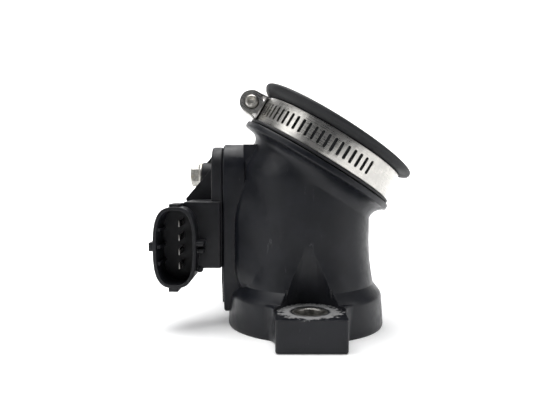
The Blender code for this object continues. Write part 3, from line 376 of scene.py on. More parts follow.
def rounded(corners, inset=0.0, steps=7):
    """Round each corner of a polygon of (x, y, radius) in metres, after moving its sides inwards."""
    points = [Vector(corner[:2]) for corner in corners]
    sides = [(points[i] - points[i - 1]).normalized() for i in range(len(points))]
    outline = []
    for i, corner in enumerate(corners):
        before, after = sides[i], sides[(i + 1) % len(points)]
        turn = before.x * after.y - before.y * after.x
        angle = math.atan2(turn, before.dot(after))
        inward_before = Vector((-before.y, before.x))
        inward_after = Vector((-after.y, after.x))
        point = points[i] + (inward_before + inward_after) * inset / (1 + inward_before.dot(inward_after))
        radius = corner[2] - inset if turn > 0 else corner[2] + inset
        radius = max(radius, 0.2 * MM) if corner[2] > 0 else 0.0
        if radius == 0.0:
            outline.append(tuple(point))
            continue
        tangent = radius * math.tan(abs(angle) / 2)
        side = 1 if turn > 0 else -1
        centre = point - before * tangent + inward_before * radius * side
        for step in range(steps + 1):
            swing = Matrix.Rotation(angle * step / steps, 2)
            outline.append(tuple(centre + swing @ (-inward_before * radius * side)))
    return outline


def millimetres(corners):
    return [tuple(value * MM for value in corner) for corner in corners]


def circle(radius, sides):
    turns = [math.tau * i / sides for i in range(sides)]
    return [(radius * math.cos(a), radius * math.sin(a)) for a in turns]


def at(y, z):
    """Frame whose local z axis runs along world X, through the point (y, z)."""
    return Matrix.Translation((0, y, z)) @ ALONG_X


def loft(name, rings):
    """Join equal rings of points by quads and close both ends."""
    def fill(bm):
        loops = [[bm.verts.new(point) for point in ring] for ring in rings]
        for lower, upper in zip(loops, loops[1:]):
            for i in range(len(lower)):
                following = (i + 1) % len(lower)
                bm.faces.new((lower[i], lower[following], upper[following], upper[i]))
        bm.faces.new(loops[0])
        bm.faces.new(loops[-1])

    return mesh_object(name, fill)


def level_ring(radius, height):
    return [(x, y, height) for x, y in circle(radius, FINE)]


def mitre_ring(radius):
    """Where a vertical tube of this radius meets the leaning one."""
    return [(x, y, BEND_HEIGHT - x * math.tan(TILT / 2)) for x, y in circle(radius, FINE)]


def neck_ring(radius, distance):
    return [NECK @ Vector((x, y, distance)) for x, y in circle(radius, FINE)]


def between(first, second, share):
    return [Vector(a).lerp(Vector(b), share) for a, b in zip(first, second)]


# --- housing ---------------------------------------------------------------------------------

def collar_fillet():
    """Rings that blend the body into the underside of the collar, deeper on the leaning side."""
    mitre = mitre_ring(BODY_RADIUS)
    corner = neck_ring(BODY_RADIUS + 0.6 * MM, COLLAR_FOOT)
    rim = neck_ring(COLLAR_RADIUS - 0.8 * MM, COLLAR_FOOT)
    foot, control = [], []
    for low, high, (x, _) in zip(mitre, corner, circle(1.0, FINE)):
        low, high = Vector(low), Vector(high)
        lean = max(x, 0.0)
        reach = (4.0 + 1.5 * (1 + x)) * MM
        along = (high - low).length
        if reach < along:
            foot.append(high.lerp(low, reach / along))
        else:
            foot.append(low - Vector((0, 0, reach - along)))
        control.append(high + Vector((0.5 * MM * lean, 0, -3.0 * MM * lean)))
    curve = []
    steps = 10
    for step in range(steps + 1):
        share = step / steps
        curve.append([a * (1 - share) ** 2 + b * 2 * share * (1 - share) + c * share ** 2
                      for a, b, c in zip(foot, control, rim)])
    return foot, curve


def body_tube():
    foot, fillet = collar_fillet()
    mitre = mitre_ring(BODY_RADIUS)
    drop = Vector((0, 0, 0.4 * MM))
    knee = [Vector(m) if m[2] < f.z - drop.z else f - drop for m, f in zip(mitre, foot)]
    base = level_ring(BODY_RADIUS - 0.1 * MM, 32 * MM)
    rings = [
        level_ring(BODY_FOOT_RADIUS + 0.2 * MM, FLANGE_HEIGHT - 3 * MM),
        level_ring(BODY_FOOT_RADIUS - 0.2 * MM, SHOULDER_TOP),
        level_ring(BODY_RADIUS + 0.9 * MM, 19.5 * MM),
        level_ring(BODY_RADIUS + 0.3 * MM, 24.0 * MM),
        level_ring(BODY_RADIUS, 28.0 * MM),
        base,
        between(base, knee, 0.5),
        between(base, knee, 0.9),
        knee,
        between(knee, foot, 0.5),
        *fillet,
        neck_ring(COLLAR_RADIUS - 0.3 * MM, COLLAR_FOOT + 0.1 * MM),
        neck_ring(COLLAR_RADIUS, COLLAR_FOOT + 0.5 * MM),
        neck_ring(COLLAR_RADIUS, COLLAR_TOP - 0.5 * MM),
        neck_ring(COLLAR_RADIUS - 0.15 * MM, COLLAR_TOP - 0.15 * MM),
        neck_ring(COLLAR_RADIUS - 0.5 * MM, COLLAR_TOP),
        neck_ring(NECK_RADIUS + 2.2 * MM, COLLAR_TOP),
        neck_ring(NECK_RADIUS, COLLAR_TOP + 0.3 * MM),
        neck_ring(NECK_RADIUS, NECK_TOP - 0.8 * MM),
        neck_ring(NECK_RADIUS - 0.2 * MM, NECK_TOP - 0.2 * MM),
        neck_ring(NECK_RADIUS - 0.8 * MM, NECK_TOP),
    ]
    return loft("body_tube", rings)


def air_passage():
    rings = [
        level_ring(BORE_RADIUS, -1 * MM),
        level_ring(BORE_RADIUS, 40 * MM),
        mitre_ring(BORE_RADIUS),
        neck_ring(BORE_RADIUS + 0.6 * MM, 4.0 * MM),
        neck_ring(BORE_RADIUS + 1.6 * MM, 7.5 * MM),
        neck_ring(BORE_RADIUS + 3.4 * MM, 11 * MM),
        neck_ring(NECK_BORE_RADIUS, 14 * MM),
        neck_ring(NECK_BORE_RADIUS, NECK_TOP + 1 * MM),
    ]
    return loft("air_passage", rings)


def flange_disc():
    profile = [
        (0, SHOULDER_TOP), (BODY_FOOT_RADIUS - 0.5 * MM, SHOULDER_TOP),
        (FLANGE_TOP_RADIUS - 0.6 * MM, FLANGE_HEIGHT + 0.7 * MM),
        (FLANGE_TOP_RADIUS, FLANGE_HEIGHT - 0.5 * MM),
        (FLANGE_RADIUS, 0.5 * MM), (FLANGE_RADIUS - 0.7 * MM, -UNDERCUT), (0, -UNDERCUT),
    ]
    return turned("flange_disc", softened(profile, 0.6 * MM), sides=FINE)


def flange_ear(name, side):
    outer = FLANGE_RADIUS * 0.7
    corners = [
        (-EAR_HALF_WIDTH, -EAR_REACH, 1.0 * MM), (EAR_HALF_WIDTH, -EAR_REACH, 1.0 * MM),
        (EAR_HALF_WIDTH, -EAR_CORNER, EAR_FILLET), (outer, -outer + 1 * MM, 0.0),
        (0.0, -5 * MM, 0.0), (-outer, -outer + 1 * MM, 0.0), (-EAR_HALF_WIDTH, -EAR_CORNER, EAR_FILLET),
    ]
    matrix = Matrix.Identity(4) if side < 0 else Matrix.Rotation(math.pi, 4, "Z")
    return plate(name, rounded(corners), 0.02 * MM, EAR_HEIGHT + 2 * UNDERCUT, matrix, edge=0.9 * MM)


def bolt_recess(name, side):
    """Cone and wedge-shaped slab that clear the bolt head above an ear."""
    hole = Matrix.Translation((0, side * BOLT_OFFSET, 0))
    cone = cylinder(name, RECESS_FOOT_RADIUS, EAR_HEIGHT + 0.2 * MM, RECESS_TOP, hole, sides=61,
                    end_radius=RECESS_TOP_RADIUS)
    wedge = [(-7.8 * MM, -23.9 * MM), (-14.5 * MM, -33 * MM), (-14.5 * MM, -45 * MM),
             (14.5 * MM, -45 * MM), (14.5 * MM, -33 * MM), (7.8 * MM, -23.9 * MM), (0, -25.4 * MM)]
    turn = Matrix.Identity(4) if side < 0 else Matrix.Rotation(math.pi, 4, "Z")
    slab = plate(name + "_slab", wedge, EAR_HEIGHT, SHOULDER_TOP + 0.6 * MM, turn)
    return cone, slab


def shaft_boss():
    """Cheek round the shaft's bush: it leaves the body at a tangent and fades out above."""
    edge = CHEEK_EDGE_RADIUS
    steps = 12
    rings = []
    for height, share in CHEEK_LEVELS:
        centre = Vector(CHEEK_CENTRE) * share
        towards = math.atan2(centre.y, centre.x) % math.tau
        towards += math.acos((BODY_RADIUS - edge) / centre.length)
        start = Vector((math.cos(towards), math.sin(towards))) * (BODY_RADIUS - 0.12 * MM)
        front = [(start.x, start.y)]
        for step in range(steps + 1):
            angle = towards + (math.pi - towards) * step / steps
            front.append((centre.x + edge * math.cos(angle), centre.y + edge * math.sin(angle)))
        back = [(x, -y) for x, y in reversed(front)]
        rings.append([(x, y, height) for x, y in reversed(front + back)])
    return loft("shaft_boss", rings)


def make_housing():
    body = body_tube()
    casing = rounded(millimetres(CASING_OUTLINE))
    join(body,
         flange_disc(), flange_ear("front_ear", -1), flange_ear("rear_ear", 1),
         plate("casing", casing, PARTING, CASING_BACK, ALONG_X, edge=0.7 * MM),
         shaft_boss(),
         cylinder("motor_barrel", BARREL_RADIUS, CASING_BACK - 1 * MM, MOTOR_END + 3 * MM,
                  at(MOTOR_Y, MOTOR_Z), sides=72),
         box("barrel_rib", *BARREL_RIB),
         box("neck_bridge", *NECK_BRIDGE))
    for i, (y, z, _) in enumerate(COVER_SCREWS):
        join(body, cylinder(f"post_back_{i}", POST_RADIUS, CASING_BACK - 1 * MM,
                            CASING_BACK + 1.5 * MM, at(y, z)))
    cut(body,
        box("facing", (-60 * MM, -60 * MM, -10 * MM), (60 * MM, 60 * MM, 0)),
        air_passage(),
        plate("chamber", rounded(millimetres(CASING_OUTLINE), CASING_WALL),
              PARTING - 1 * MM, CHAMBER_FLOOR, ALONG_X),
        cylinder("motor_pocket", MOTOR_RADIUS + GAP, CHAMBER_FLOOR - 1 * MM, MOTOR_END + 0.8 * MM,
                 at(MOTOR_Y, MOTOR_Z)))
    for side, name in ((-1, "front_recess"), (1, "rear_recess")):
        cut(body, *bolt_recess(name, side))
        hole = Matrix.Translation((0, side * BOLT_OFFSET, 0))
        cut(body, cylinder(name + "_hole", SLEEVE_RADIUS + 0.05 * MM, -1 * MM, EAR_HEIGHT + 1 * MM,
                           hole, sides=64))
    near, far, seat = CHAMBER_FLOOR - 1 * MM, 21.9 * MM, SHAFT_RADIUS + GAP
    cut(body, cylinder("shaft_passage", seat, near, far, at(0, SHAFT_HEIGHT), sides=37))
    piece(body, "housing_moulding", "black_plastic", "body", "housing", sharp=32)


def make_sleeves():
    for side, name in ((-1, "front_sleeve"), (1, "rear_sleeve")):
        hole = Matrix.Translation((0, side * BOLT_OFFSET, 0))
        profile = [
            (SLEEVE_RADIUS, EAR_HEIGHT), (SLEEVE_RADIUS, 0), (SLEEVE_HOLE_RADIUS, 0),
            (SLEEVE_HOLE_RADIUS, EAR_HEIGHT - 0.4 * MM), (SLEEVE_HOLE_RADIUS + 0.4 * MM, EAR_HEIGHT),
        ]
        sleeve = turned(name + "_turned", softened_ring(profile, 0.2 * MM), hole, sides=96)
        piece(sleeve, name + "_turned", "steel", "body", name)


# --- hose end and clamp ----------------------------------------------------------------------

def make_hose_end():
    """Rubber end bead, the sleeve under the band, and a foot that widens onto the collar."""
    inner = NECK_RADIUS + 0.05 * MM
    lip = HOSE_LIP_RADIUS
    profile = [
        (24.6 * MM, HOSE_TOP), (lip - 1.1 * MM, HOSE_TOP), (lip - 0.3 * MM, HOSE_TOP - 0.3 * MM),
        (lip, HOSE_TOP - 1.1 * MM), (lip - 0.4 * MM, HOSE_TOP - 2.1 * MM),
        (lip - 1.9 * MM, HOSE_TOP - 2.6 * MM), (HOSE_RADIUS + 0.6 * MM, 20.3 * MM),
        (HOSE_RADIUS, 19.9 * MM), (HOSE_RADIUS, HOSE_FOOT + 1.0 * MM),
        (COLLAR_RADIUS - 1.0 * MM, HOSE_FOOT + 0.8 * MM),
        (COLLAR_RADIUS - 1.0 * MM, HOSE_FOOT - 0.4 * MM),
        (inner, HOSE_FOOT - 0.4 * MM), (inner, NECK_TOP + 0.05 * MM), (24.6 * MM, NECK_TOP + 0.05 * MM),
    ]
    hose = turned("hose_bead", softened_ring(profile, 0.6 * MM, 4), NECK, sides=144)
    upright = NECK.inverted()
    for vertex in hose.data.vertices:
        place = upright @ vertex.co
        share = min(1.0, max(0.0, (place.z - RISE_START) / RISE_LENGTH))
        place.z += LIP_RISE * share * (lip - place.x) / (2 * lip)
        vertex.co = NECK @ place
    piece(hose, "hose_bead", "rubber", "body", "hose_end", sharp=50)


def make_band():
    """One closed strip with softened edges and a row of slots cut right through it."""
    outer = BAND_INNER_RADIUS + BAND_THICKNESS
    low = BAND_MIDDLE - BAND_WIDTH / 2
    high = BAND_MIDDLE + BAND_WIDTH / 2
    profile = [(outer, high), (outer, low), (HOSE_RADIUS + 0.05 * MM, low),
               (HOSE_RADIUS + 0.05 * MM, high)]
    band = turned("perforated_band", softened_ring(profile, 0.22 * MM, 3), NECK, sides=180)
    half_length = SLOT_LENGTH / 2
    half_width = SLOT_WIDTH / 2
    corners = [(-half_width, -half_length, 0.5 * MM), (half_width, -half_length, 0.5 * MM),
               (half_width, half_length, 0.5 * MM), (-half_width, half_length, 0.5 * MM)]
    slot = rounded(corners, steps=4)
    across = Matrix.Rotation(math.pi / 2, 4, "Y") @ Matrix.Rotation(math.pi / 2, 4, "Z")
    for i in range(SLOT_COUNT):
        turn = Matrix.Rotation(-(FIRST_SLOT + i * SLOT_PITCH), 4, "Z")
        place = NECK @ Matrix.Translation((0, 0, BAND_MIDDLE)) @ turn @ across
        cut(band, plate(f"slot_{i}", slot, BAND_INNER_RADIUS - 1 * MM, outer + 1 * MM, place))
    piece(band, "perforated_band", "stainless", "body", "clamp_band")


def make_worm_housing():
    """Sheet-metal barrel that holds the worm, flaring to a saddle on the band."""
    base = BAND_INNER_RADIUS + BAND_THICKNESS + 0.05 * MM
    half_foot = 4.75 * MM
    corner = Vector((WORM_OFFSET - base, half_foot))
    flank = math.atan2(corner.y, -corner.x) - math.acos(WORM_BARREL_RADIUS / corner.length)
    outline = [(base, -half_foot)]
    steps = 48
    for step in range(steps + 1):
        angle = flank * (2 * step / steps - 1)
        outline.append((WORM_OFFSET + WORM_BARREL_RADIUS * math.cos(angle),
                        WORM_BARREL_RADIUS * math.sin(angle)))
    outline.append((base, half_foot))
    end_view = CLAMP @ Matrix.Rotation(math.pi / 2, 4, "X")
    half_length = 5.6 * MM
    body = plate("worm_housing", outline, -half_length, half_length, end_view, edge=0.2 * MM)
    axis = end_view @ Matrix.Translation((WORM_OFFSET, 0, 0))
    for side in (-1, 1):
        window = [(base + 0.7 * MM, side * 4.1 * MM), (base + 0.7 * MM, side * 2.4 * MM),
                  (base + 3.2 * MM, side * 4.05 * MM)]
        cut(body, plate(f"housing_window_{side}", window, -9 * MM, 9 * MM, end_view))
    cut(body,
        cylinder("worm_bore", 3.7 * MM, -5.0 * MM, 9 * MM, axis, sides=63),
        cylinder("worm_tail_bore", 2.7 * MM, -9 * MM, 0, axis, sides=49))
    piece(body, "worm_housing", "stainless", "body", "clamp_housing", sharp=35)
    foot = brick("saddle_flange", (base - 0.02 * MM, -6.1 * MM, 0.1 * MM - half_foot),
                 (base + 0.7 * MM, 6.1 * MM, half_foot - 0.1 * MM), 0.2 * MM, CLAMP)
    piece(foot, "saddle_flange", "stainless", "body")


def make_worm():
    """Worm screw on a tangent of the band, with a slotted hexagon head at the rear."""
    axis = CLAMP @ Matrix.Translation((WORM_OFFSET, 0, 0)) @ Matrix.Rotation(math.pi / 2, 4, "X")
    crest, root = 3.4 * MM, 2.8 * MM
    ridges, spacing = 4, 2.2       # turned rings that stand for the thread, millimetres apart
    profile = [(0, 8.2 * MM), (2.4 * MM, 8.2 * MM), (2.4 * MM, 4.9 * MM)]
    for i in range(ridges):
        top = (4.6 - i * spacing) * MM
        profile += [(crest, top), (crest, top - 0.8 * MM), (root, top - 1.4 * MM)]
    profile += [(2.35 * MM, -4.7 * MM), (2.35 * MM, -7.6 * MM), (1.9 * MM, -8.1 * MM),
                (1.2 * MM, -8.1 * MM), (0.9 * MM, -7.4 * MM), (0, -7.4 * MM)]
    screw = turned("worm_screw", softened(profile, 0.25 * MM), axis)
    head = cylinder("worm_head", 4.1 * MM, 6.4 * MM, 10.2 * MM, axis, sides=6)
    join(screw, head)
    cut(screw, box("worm_slot", (-0.6 * MM, -6 * MM, 8.8 * MM), (0.6 * MM, 6 * MM, 12 * MM), axis))
    piece(screw, "worm_screw", "zinc", "worm", "clamp_worm")


# --- cover and connector ---------------------------------------------------------------------

def superellipse(half_width, half_height):
    points = []
    sides = 96
    for i in range(sides):
        angle = math.tau * i / sides
        c, s = math.cos(angle), math.sin(angle)
        x = half_width * math.copysign(abs(c) ** (2 / SHELL_POWER), c)
        z = half_height * math.copysign(abs(s) ** (2 / SHELL_POWER), s)
        points.append((SHELL_X + x, SHELL_Z + z))
    return points


def pin_heights():
    middle = (PIN_COUNT - 1) / 2
    return [SHELL_Z + 0.5 * MM + (middle - i) * PIN_PITCH for i in range(PIN_COUNT)]


def shell_lugs():
    front = SHELL_MOUTH + 0.6 * MM
    return [
        brick("left_lug", (-55.4 * MM, front, 29.4 * MM), (-53.0 * MM, -9 * MM, 32.5 * MM)),
        brick("right_lug", (-39.5 * MM, front, 31.2 * MM), (-36.3 * MM, -11 * MM, 32.7 * MM)),
        brick("right_step", (-39.5 * MM, -17 * MM, 28.4 * MM), (-36.6 * MM, -11 * MM, 30.0 * MM)),
        brick("top_lug", (-48.2 * MM, front, 44.2 * MM), (-44.6 * MM, -9 * MM, 45.9 * MM)),
        brick("bottom_lug", (-48.6 * MM, front, 15.2 * MM), (-45.2 * MM, -9 * MM, 17.4 * MM)),
        brick("bottom_tab", (-39.6 * MM, -12.5 * MM, 20.9 * MM), (-37.8 * MM, -8 * MM, 23.0 * MM)),
    ]


def socket_keys():
    """Low ribs along both long walls of the socket, for the mating plug's grooves."""
    front, back, half = SHELL_MOUTH + 2.5 * MM, SHELL_FLOOR + 0.3 * MM, 0.6 * MM
    keys = []
    for i, offset in enumerate((-6.0 * MM, 0.0, 6.0 * MM)):
        low, high = SHELL_Z + offset - half, SHELL_Z + offset + half
        keys.append(brick(f"left_key_{i}", (-53.1 * MM, front, low), (-51.8 * MM, back, high),
                          0.15 * MM))
        keys.append(brick(f"right_key_{i}", (-40.45 * MM, front, low), (-39.7 * MM, back, high),
                          0.15 * MM))
    return keys


def make_cover():
    outline = rounded(millimetres(COVER_OUTLINE))
    body = plate("cover_moulding", outline, COVER_FACE, PARTING - 0.02 * MM, ALONG_X, edge=0.7 * MM)
    plug = rounded(millimetres(CASING_OUTLINE), CASING_WALL + 0.1 * MM)
    block = [(-31.2, 46.3, 0), (-44.0, 46.3, 0.6), (-46.0, 44.4, 0.6),
             (-46.0, 24.0, 0.6), (-44.0, 22.3, 0.6), (-31.2, 22.3, 0)]
    web = [(-34.5, 60.9, 0), (-46.7, 46.7, 0.4), (-46.0, 44.0, 0), (-34.5, 44.0, 0)]
    rib = [(-34.5, 65.3, 0), (-35.4, 65.3, 0.3), (-40.4, 59.4, 0), (-34.5, 57.0, 0)]
    shell = plate("shell", superellipse(SHELL_HALF_WIDTH, SHELL_HALF_HEIGHT),
                  -1.5 * MM, -SHELL_MOUTH, ALONG_Y, edge=0.25 * MM)
    join(body,
         plate("lower_plate", plug, COVER_SEAT - 0.4 * MM, PLUG_INNER, ALONG_X),
         plate("block", rounded(millimetres(block), steps=5), -BLOCK_REAR, -BLOCK_FRONT, ALONG_Y,
               edge=0.4 * MM),
         plate("web", rounded(millimetres(web), steps=3), -BLOCK_REAR, -BLOCK_REAR + 1.8 * MM, ALONG_Y),
         shell, *shell_lugs())
    for i, (y, z, height) in enumerate(COVER_SCREWS):
        foot, top = COVER_SEAT - 0.2 * MM, COVER_FACE - height
        profile = [(0, foot), (COVER_BOSS_RADIUS, foot), (COVER_BOSS_RADIUS, top), (0, top)]
        join(body, turned(f"boss_{i}", softened(profile, 0.4 * MM), at(y, z)))
    rib_y = COVER_SCREWS[0][0]
    join(body, plate("rib", rounded(millimetres(rib), steps=3), -rib_y - 1 * MM, -rib_y + 1 * MM,
                     ALONG_Y))
    cut(body,
        plate("socket", superellipse(SHELL_HALF_WIDTH - SHELL_WALL, SHELL_HALF_HEIGHT - SHELL_WALL),
              -SHELL_FLOOR, -SHELL_MOUTH + 1 * MM, ALONG_Y))
    join(body, *socket_keys())
    for i, (y, z, _) in enumerate(COVER_SCREWS):
        cut(body, cylinder(f"cover_hole_{i}", SCREW_RADIUS + 0.05 * MM, -50 * MM, -28 * MM,
                           at(y, z), sides=31))
    piece(body, "cover_moulding", "cover_plastic", "body", "cover", sharp=32)


def make_terminals():
    half, reach = BLADE_THICKNESS / 2, BLADE_WIDTH / 2
    for number, z in enumerate(pin_heights(), 1):
        blade = brick(f"blade_{number}", (PIN_X - half, BLADE_TIP, z - reach),
                      (PIN_X + half, SHELL_FLOOR + 0.3 * MM, z + reach), 0.15 * MM)
        piece(blade, f"blade_{number}", "tin", "body", f"terminal_{number}")


def make_cover_screws():
    for number, (y, z, height) in enumerate(COVER_SCREWS, 1):
        seat = COVER_FACE - height - 0.05 * MM
        head = seat - 1.4 * MM
        flange = [
            (0, seat + 6 * MM), (SCREW_RADIUS, seat + 6 * MM), (SCREW_RADIUS, seat), (4.9 * MM, seat),
            (4.9 * MM, seat - 0.8 * MM), (4.3 * MM, head), (0, head),
        ]
        screw = turned(f"hex_screw_{number}", softened(flange, 0.25 * MM), at(y, z))
        hexagon = cylinder(f"hexagon_{number}", HEXAGON_RADIUS, head - 3.0 * MM, head + 0.4 * MM,
                           at(y, z), sides=6)
        chamfer = [
            (0, head + 1 * MM), (4.9 * MM, head + 1 * MM), (4.9 * MM, head - 2.3 * MM),
            (3.9 * MM, head - 3.1 * MM), (0, head - 3.1 * MM),
        ]
        combine(hexagon, turned(f"crown_{number}", chamfer, at(y, z), sides=61), "INTERSECT")
        join(screw, hexagon)
        cut(screw, cylinder(f"dish_{number}", 2.7 * MM, head - 4 * MM, head - 2.5 * MM,
                            at(y, z), sides=47, end_radius=2.3 * MM))
        piece(screw, f"hex_screw_{number}", "zinc", "body", f"cover_screw_{number}")


# --- throttle shaft and plate ----------------------------------------------------------------

def make_throttle():
    place = Matrix.Translation((0, 0, SHAFT_HEIGHT))
    half = PLATE_THICKNESS / 2
    rim = BORE_RADIUS - PLATE_CLEARANCE
    profile = [(0, half), (rim, half), (rim, -half), (0, -half)]
    disc = turned("butterfly", softened(profile, 0.2 * MM), place, sides=120)
    piece(disc, "butterfly", "aluminium", "throttle", "throttle_plate")
    for number, x in enumerate((-PLATE_SCREW_X, PLATE_SCREW_X), 1):
        spot = Matrix.Translation((x, 0, SHAFT_HEIGHT))
        profile = [
            (0, 5.0 * MM), (2.2 * MM, 5.0 * MM), (2.7 * MM, 4.4 * MM), (2.7 * MM, 3.0 * MM),
            (1.5 * MM, 3.0 * MM), (1.5 * MM, -3.6 * MM), (0, -3.6 * MM),
        ]
        screw = turned(f"butterfly_screw_{number}", softened(profile, 0.3 * MM), spot)
        for i, size in enumerate(((1.7, 0.35), (0.36, 1.71))):
            low = (-size[0] * MM, -size[1] * MM, (4.2 - 0.01 * i) * MM)
            high = (size[0] * MM, size[1] * MM, 6 * MM)
            cut(screw, box(f"cross_{number}_{i}", low, high, spot))
        piece(screw, f"butterfly_screw_{number}", "zinc", "throttle", f"plate_screw_{number}")


# --- materials -------------------------------------------------------------------------------

class Finish:
    """A material with its shader and short ways to add procedural nodes in millimetre units."""

    def __init__(self, name, turn=(0, 0, 0)):
        self.material = bpy.data.materials.new(name)
        self.material.use_nodes = True
        self.tree = self.material.node_tree
        self.shader = self.tree.nodes["Principled BSDF"]
        where = self.tree.nodes.new("ShaderNodeTexCoord")
        scale = self.tree.nodes.new("ShaderNodeMapping")
        scale.inputs["Scale"].default_value = (1000, 1000, 1000)
        self.tree.links.new(where.outputs["Object"], scale.inputs["Vector"])
        self.place = scale.outputs["Vector"]
        if turn != (0, 0, 0):
            self.place = self.mapped(rotation=turn)
        finishes[name] = self.material

    def link(self, socket, value):
        if isinstance(value, bpy.types.NodeSocket):
            self.tree.links.new(value, socket)
        else:
            socket.default_value = value

    def mapped(self, scale=(1, 1, 1), rotation=(0, 0, 0), location=(0, 0, 0)):
        node = self.tree.nodes.new("ShaderNodeMapping")
        node.inputs["Scale"].default_value = scale
        node.inputs["Rotation"].default_value = rotation
        node.inputs["Location"].default_value = location
        self.tree.links.new(self.place, node.inputs["Vector"])
        return node.outputs["Vector"]

    def noise(self, scale, detail=3.0, roughness=0.55, stretch=(1, 1, 1), shift=(0, 0, 0),
              distortion=0.0):
        node = self.tree.nodes.new("ShaderNodeTexNoise")
        node.inputs["Scale"].default_value = scale
        node.inputs["Detail"].default_value = detail
        node.inputs["Roughness"].default_value = roughness
        node.inputs["Distortion"].default_value = distortion
        self.tree.links.new(self.mapped(stretch, location=shift), node.inputs["Vector"])
        return node.outputs["Fac"]

    def cells(self, scale):
        node = self.tree.nodes.new("ShaderNodeTexVoronoi")
        node.inputs["Scale"].default_value = scale
        self.tree.links.new(self.place, node.inputs["Vector"])
        return node.outputs["Distance"]

    def fit(self, value, low, high, to_low=0.0, to_high=1.0):
        node = self.tree.nodes.new("ShaderNodeMapRange")
        node.interpolation_type = "SMOOTHSTEP"
        self.link(node.inputs["Value"], value)
        for key, number in (("From Min", low), ("From Max", high), ("To Min", to_low),
                            ("To Max", to_high)):
            node.inputs[key].default_value = number
        return node.outputs["Result"]

    def sum(self, operation, first, second=0.0):
        node = self.tree.nodes.new("ShaderNodeMath")
        node.operation = operation
        self.link(node.inputs[0], first)
        self.link(node.inputs[1], second)
        return node.outputs[0]

    def mix(self, share, first, second):
        node = self.tree.nodes.new("ShaderNodeMix")
        node.data_type = "RGBA"
        self.link(node.inputs["Factor"], share)
        for key, colour in (("A", first), ("B", second)):
            plain = not isinstance(colour, bpy.types.NodeSocket)
            self.link(node.inputs[key], (*colour, 1) if plain else colour)
        return node.outputs["Result"]

    def rounded_edges(self, radius):
        node = self.tree.nodes.new("ShaderNodeBevel")
        node.samples = 6
        node.inputs["Radius"].default_value = radius
        return node.outputs["Normal"]

    def edge_wear_and_highlight(self, radius, low, high):
        """1 on sharp edges, broken up by noise, and 0 on open surfaces; it marks edges that are lightened
        partly as real rubbing and partly as a painted highlight.
        """
        geometry = self.tree.nodes.new("ShaderNodeNewGeometry")
        dot = self.tree.nodes.new("ShaderNodeVectorMath")
        dot.operation = "DOT_PRODUCT"
        self.tree.links.new(self.rounded_edges(radius), dot.inputs[0])
        self.tree.links.new(geometry.outputs["Normal"], dot.inputs[1])
        bend = self.sum("SUBTRACT", 1.0, dot.outputs["Value"])
        return self.fit(self.sum("MULTIPLY", bend, self.fit(self.noise(0.9), 0.3, 0.65, 0.3, 1.6)),
                        low, high)

    def bump(self, height, distance, strength=1.0, normal=None):
        node = self.tree.nodes.new("ShaderNodeBump")
        node.inputs["Strength"].default_value = strength
        node.inputs["Distance"].default_value = distance
        self.link(node.inputs["Height"], height)
        if normal is not None:
            self.tree.links.new(normal, node.inputs["Normal"])
        return node.outputs["Normal"]

    def set(self, **inputs):
        for name, value in inputs.items():
            socket = self.shader.inputs[name.replace("_", " ")]
            if isinstance(value, tuple) and len(value) == 3:
                value = (*value, 1)
            self.link(socket, value)
        return self


def washer_wear(look):
    """1 on the tops of the ears, where bolt washers have rubbed the moulding, and 0 elsewhere."""
    split = look.tree.nodes.new("ShaderNodeSeparateXYZ")
    look.tree.links.new(look.place, split.inputs[0])
    across, along, up = split.outputs
    along = look.sum("SUBTRACT", look.sum("ABSOLUTE", along), BOLT_OFFSET / MM)
    squares = look.sum("ADD", look.sum("MULTIPLY", across, across), look.sum("MULTIPLY", along, along))
    ragged = look.fit(look.noise(0.45, 5, 0.7), 0.3, 0.7, -2.2, 2.2)
    rim = look.sum("ADD", look.sum("SQRT", squares), ragged)
    level = look.sum("ABSOLUTE", look.sum("SUBTRACT", up, EAR_HEIGHT / MM))
    inside, outside = (6.2, 7.2), (9.2, 10.6)      # radii in mm between which the wear fades
    ring = look.sum("MULTIPLY", look.fit(rim, *outside, 1.0, 0.0),
                    look.fit(look.sum("SQRT", squares), *inside))
    return look.sum("MULTIPLY", ring, look.fit(level, 0.2, 0.5, 1.0, 0.0))


def moulded(name, dark, pale, rough, grain, scuff, bolted=False):
    """Glass-filled black plastic: cloudy colour, fine grain, dull scuffs, and edges lightened partly by
    rubbing and partly as a painted highlight.
    """
    look = Finish(name)
    cloud = look.fit(look.noise(0.09, 4), 0.35, 0.7)
    colour = look.mix(cloud, dark, pale)
    streak = look.fit(look.noise(0.5, 6, 0.7, (1, 1, 0.3), distortion=0.6), 0.62, 0.76)
    region = look.fit(look.noise(0.06, 2, shift=(7, 3, 1)), 0.45, 0.62, 0.0, scuff)
    rub = look.sum("MULTIPLY", streak, region)
    # Sharp edges lightened towards grey: partly real rubbed wear, partly a painted highlight along the
    # rims.
    worn_and_highlit_edges = look.edge_wear_and_highlight(0.45 * MM, 0.05, 0.55)
    scuffs_and_highlight = look.sum("MAXIMUM", rub, look.sum("MULTIPLY", worn_and_highlit_edges, 0.9))
    # Lightens the scuffs (real) and the edges (real wear plus painted highlight).
    colour = look.mix(scuffs_and_highlight, colour, (0.085, 0.087, 0.092))
    if bolted:
        colour = look.mix(look.sum("MULTIPLY", washer_wear(look), 0.9), colour, (0.30, 0.30, 0.30))
    fine = look.noise(grain, 3, 0.6)
    roughness = look.sum("ADD", look.fit(look.noise(0.35, 4), 0.3, 0.7, rough - 0.05, rough + 0.08),
                         look.sum("MULTIPLY", scuffs_and_highlight, 0.18))
    normal = look.bump(fine, 0.02 * MM, 0.55, look.rounded_edges(0.35 * MM))
    normal = look.bump(look.noise(0.7, 2), 0.03 * MM, 0.5, normal)
    look.set(Base_Color=colour, Roughness=roughness, Normal=normal, Specular_IOR_Level=0.27)


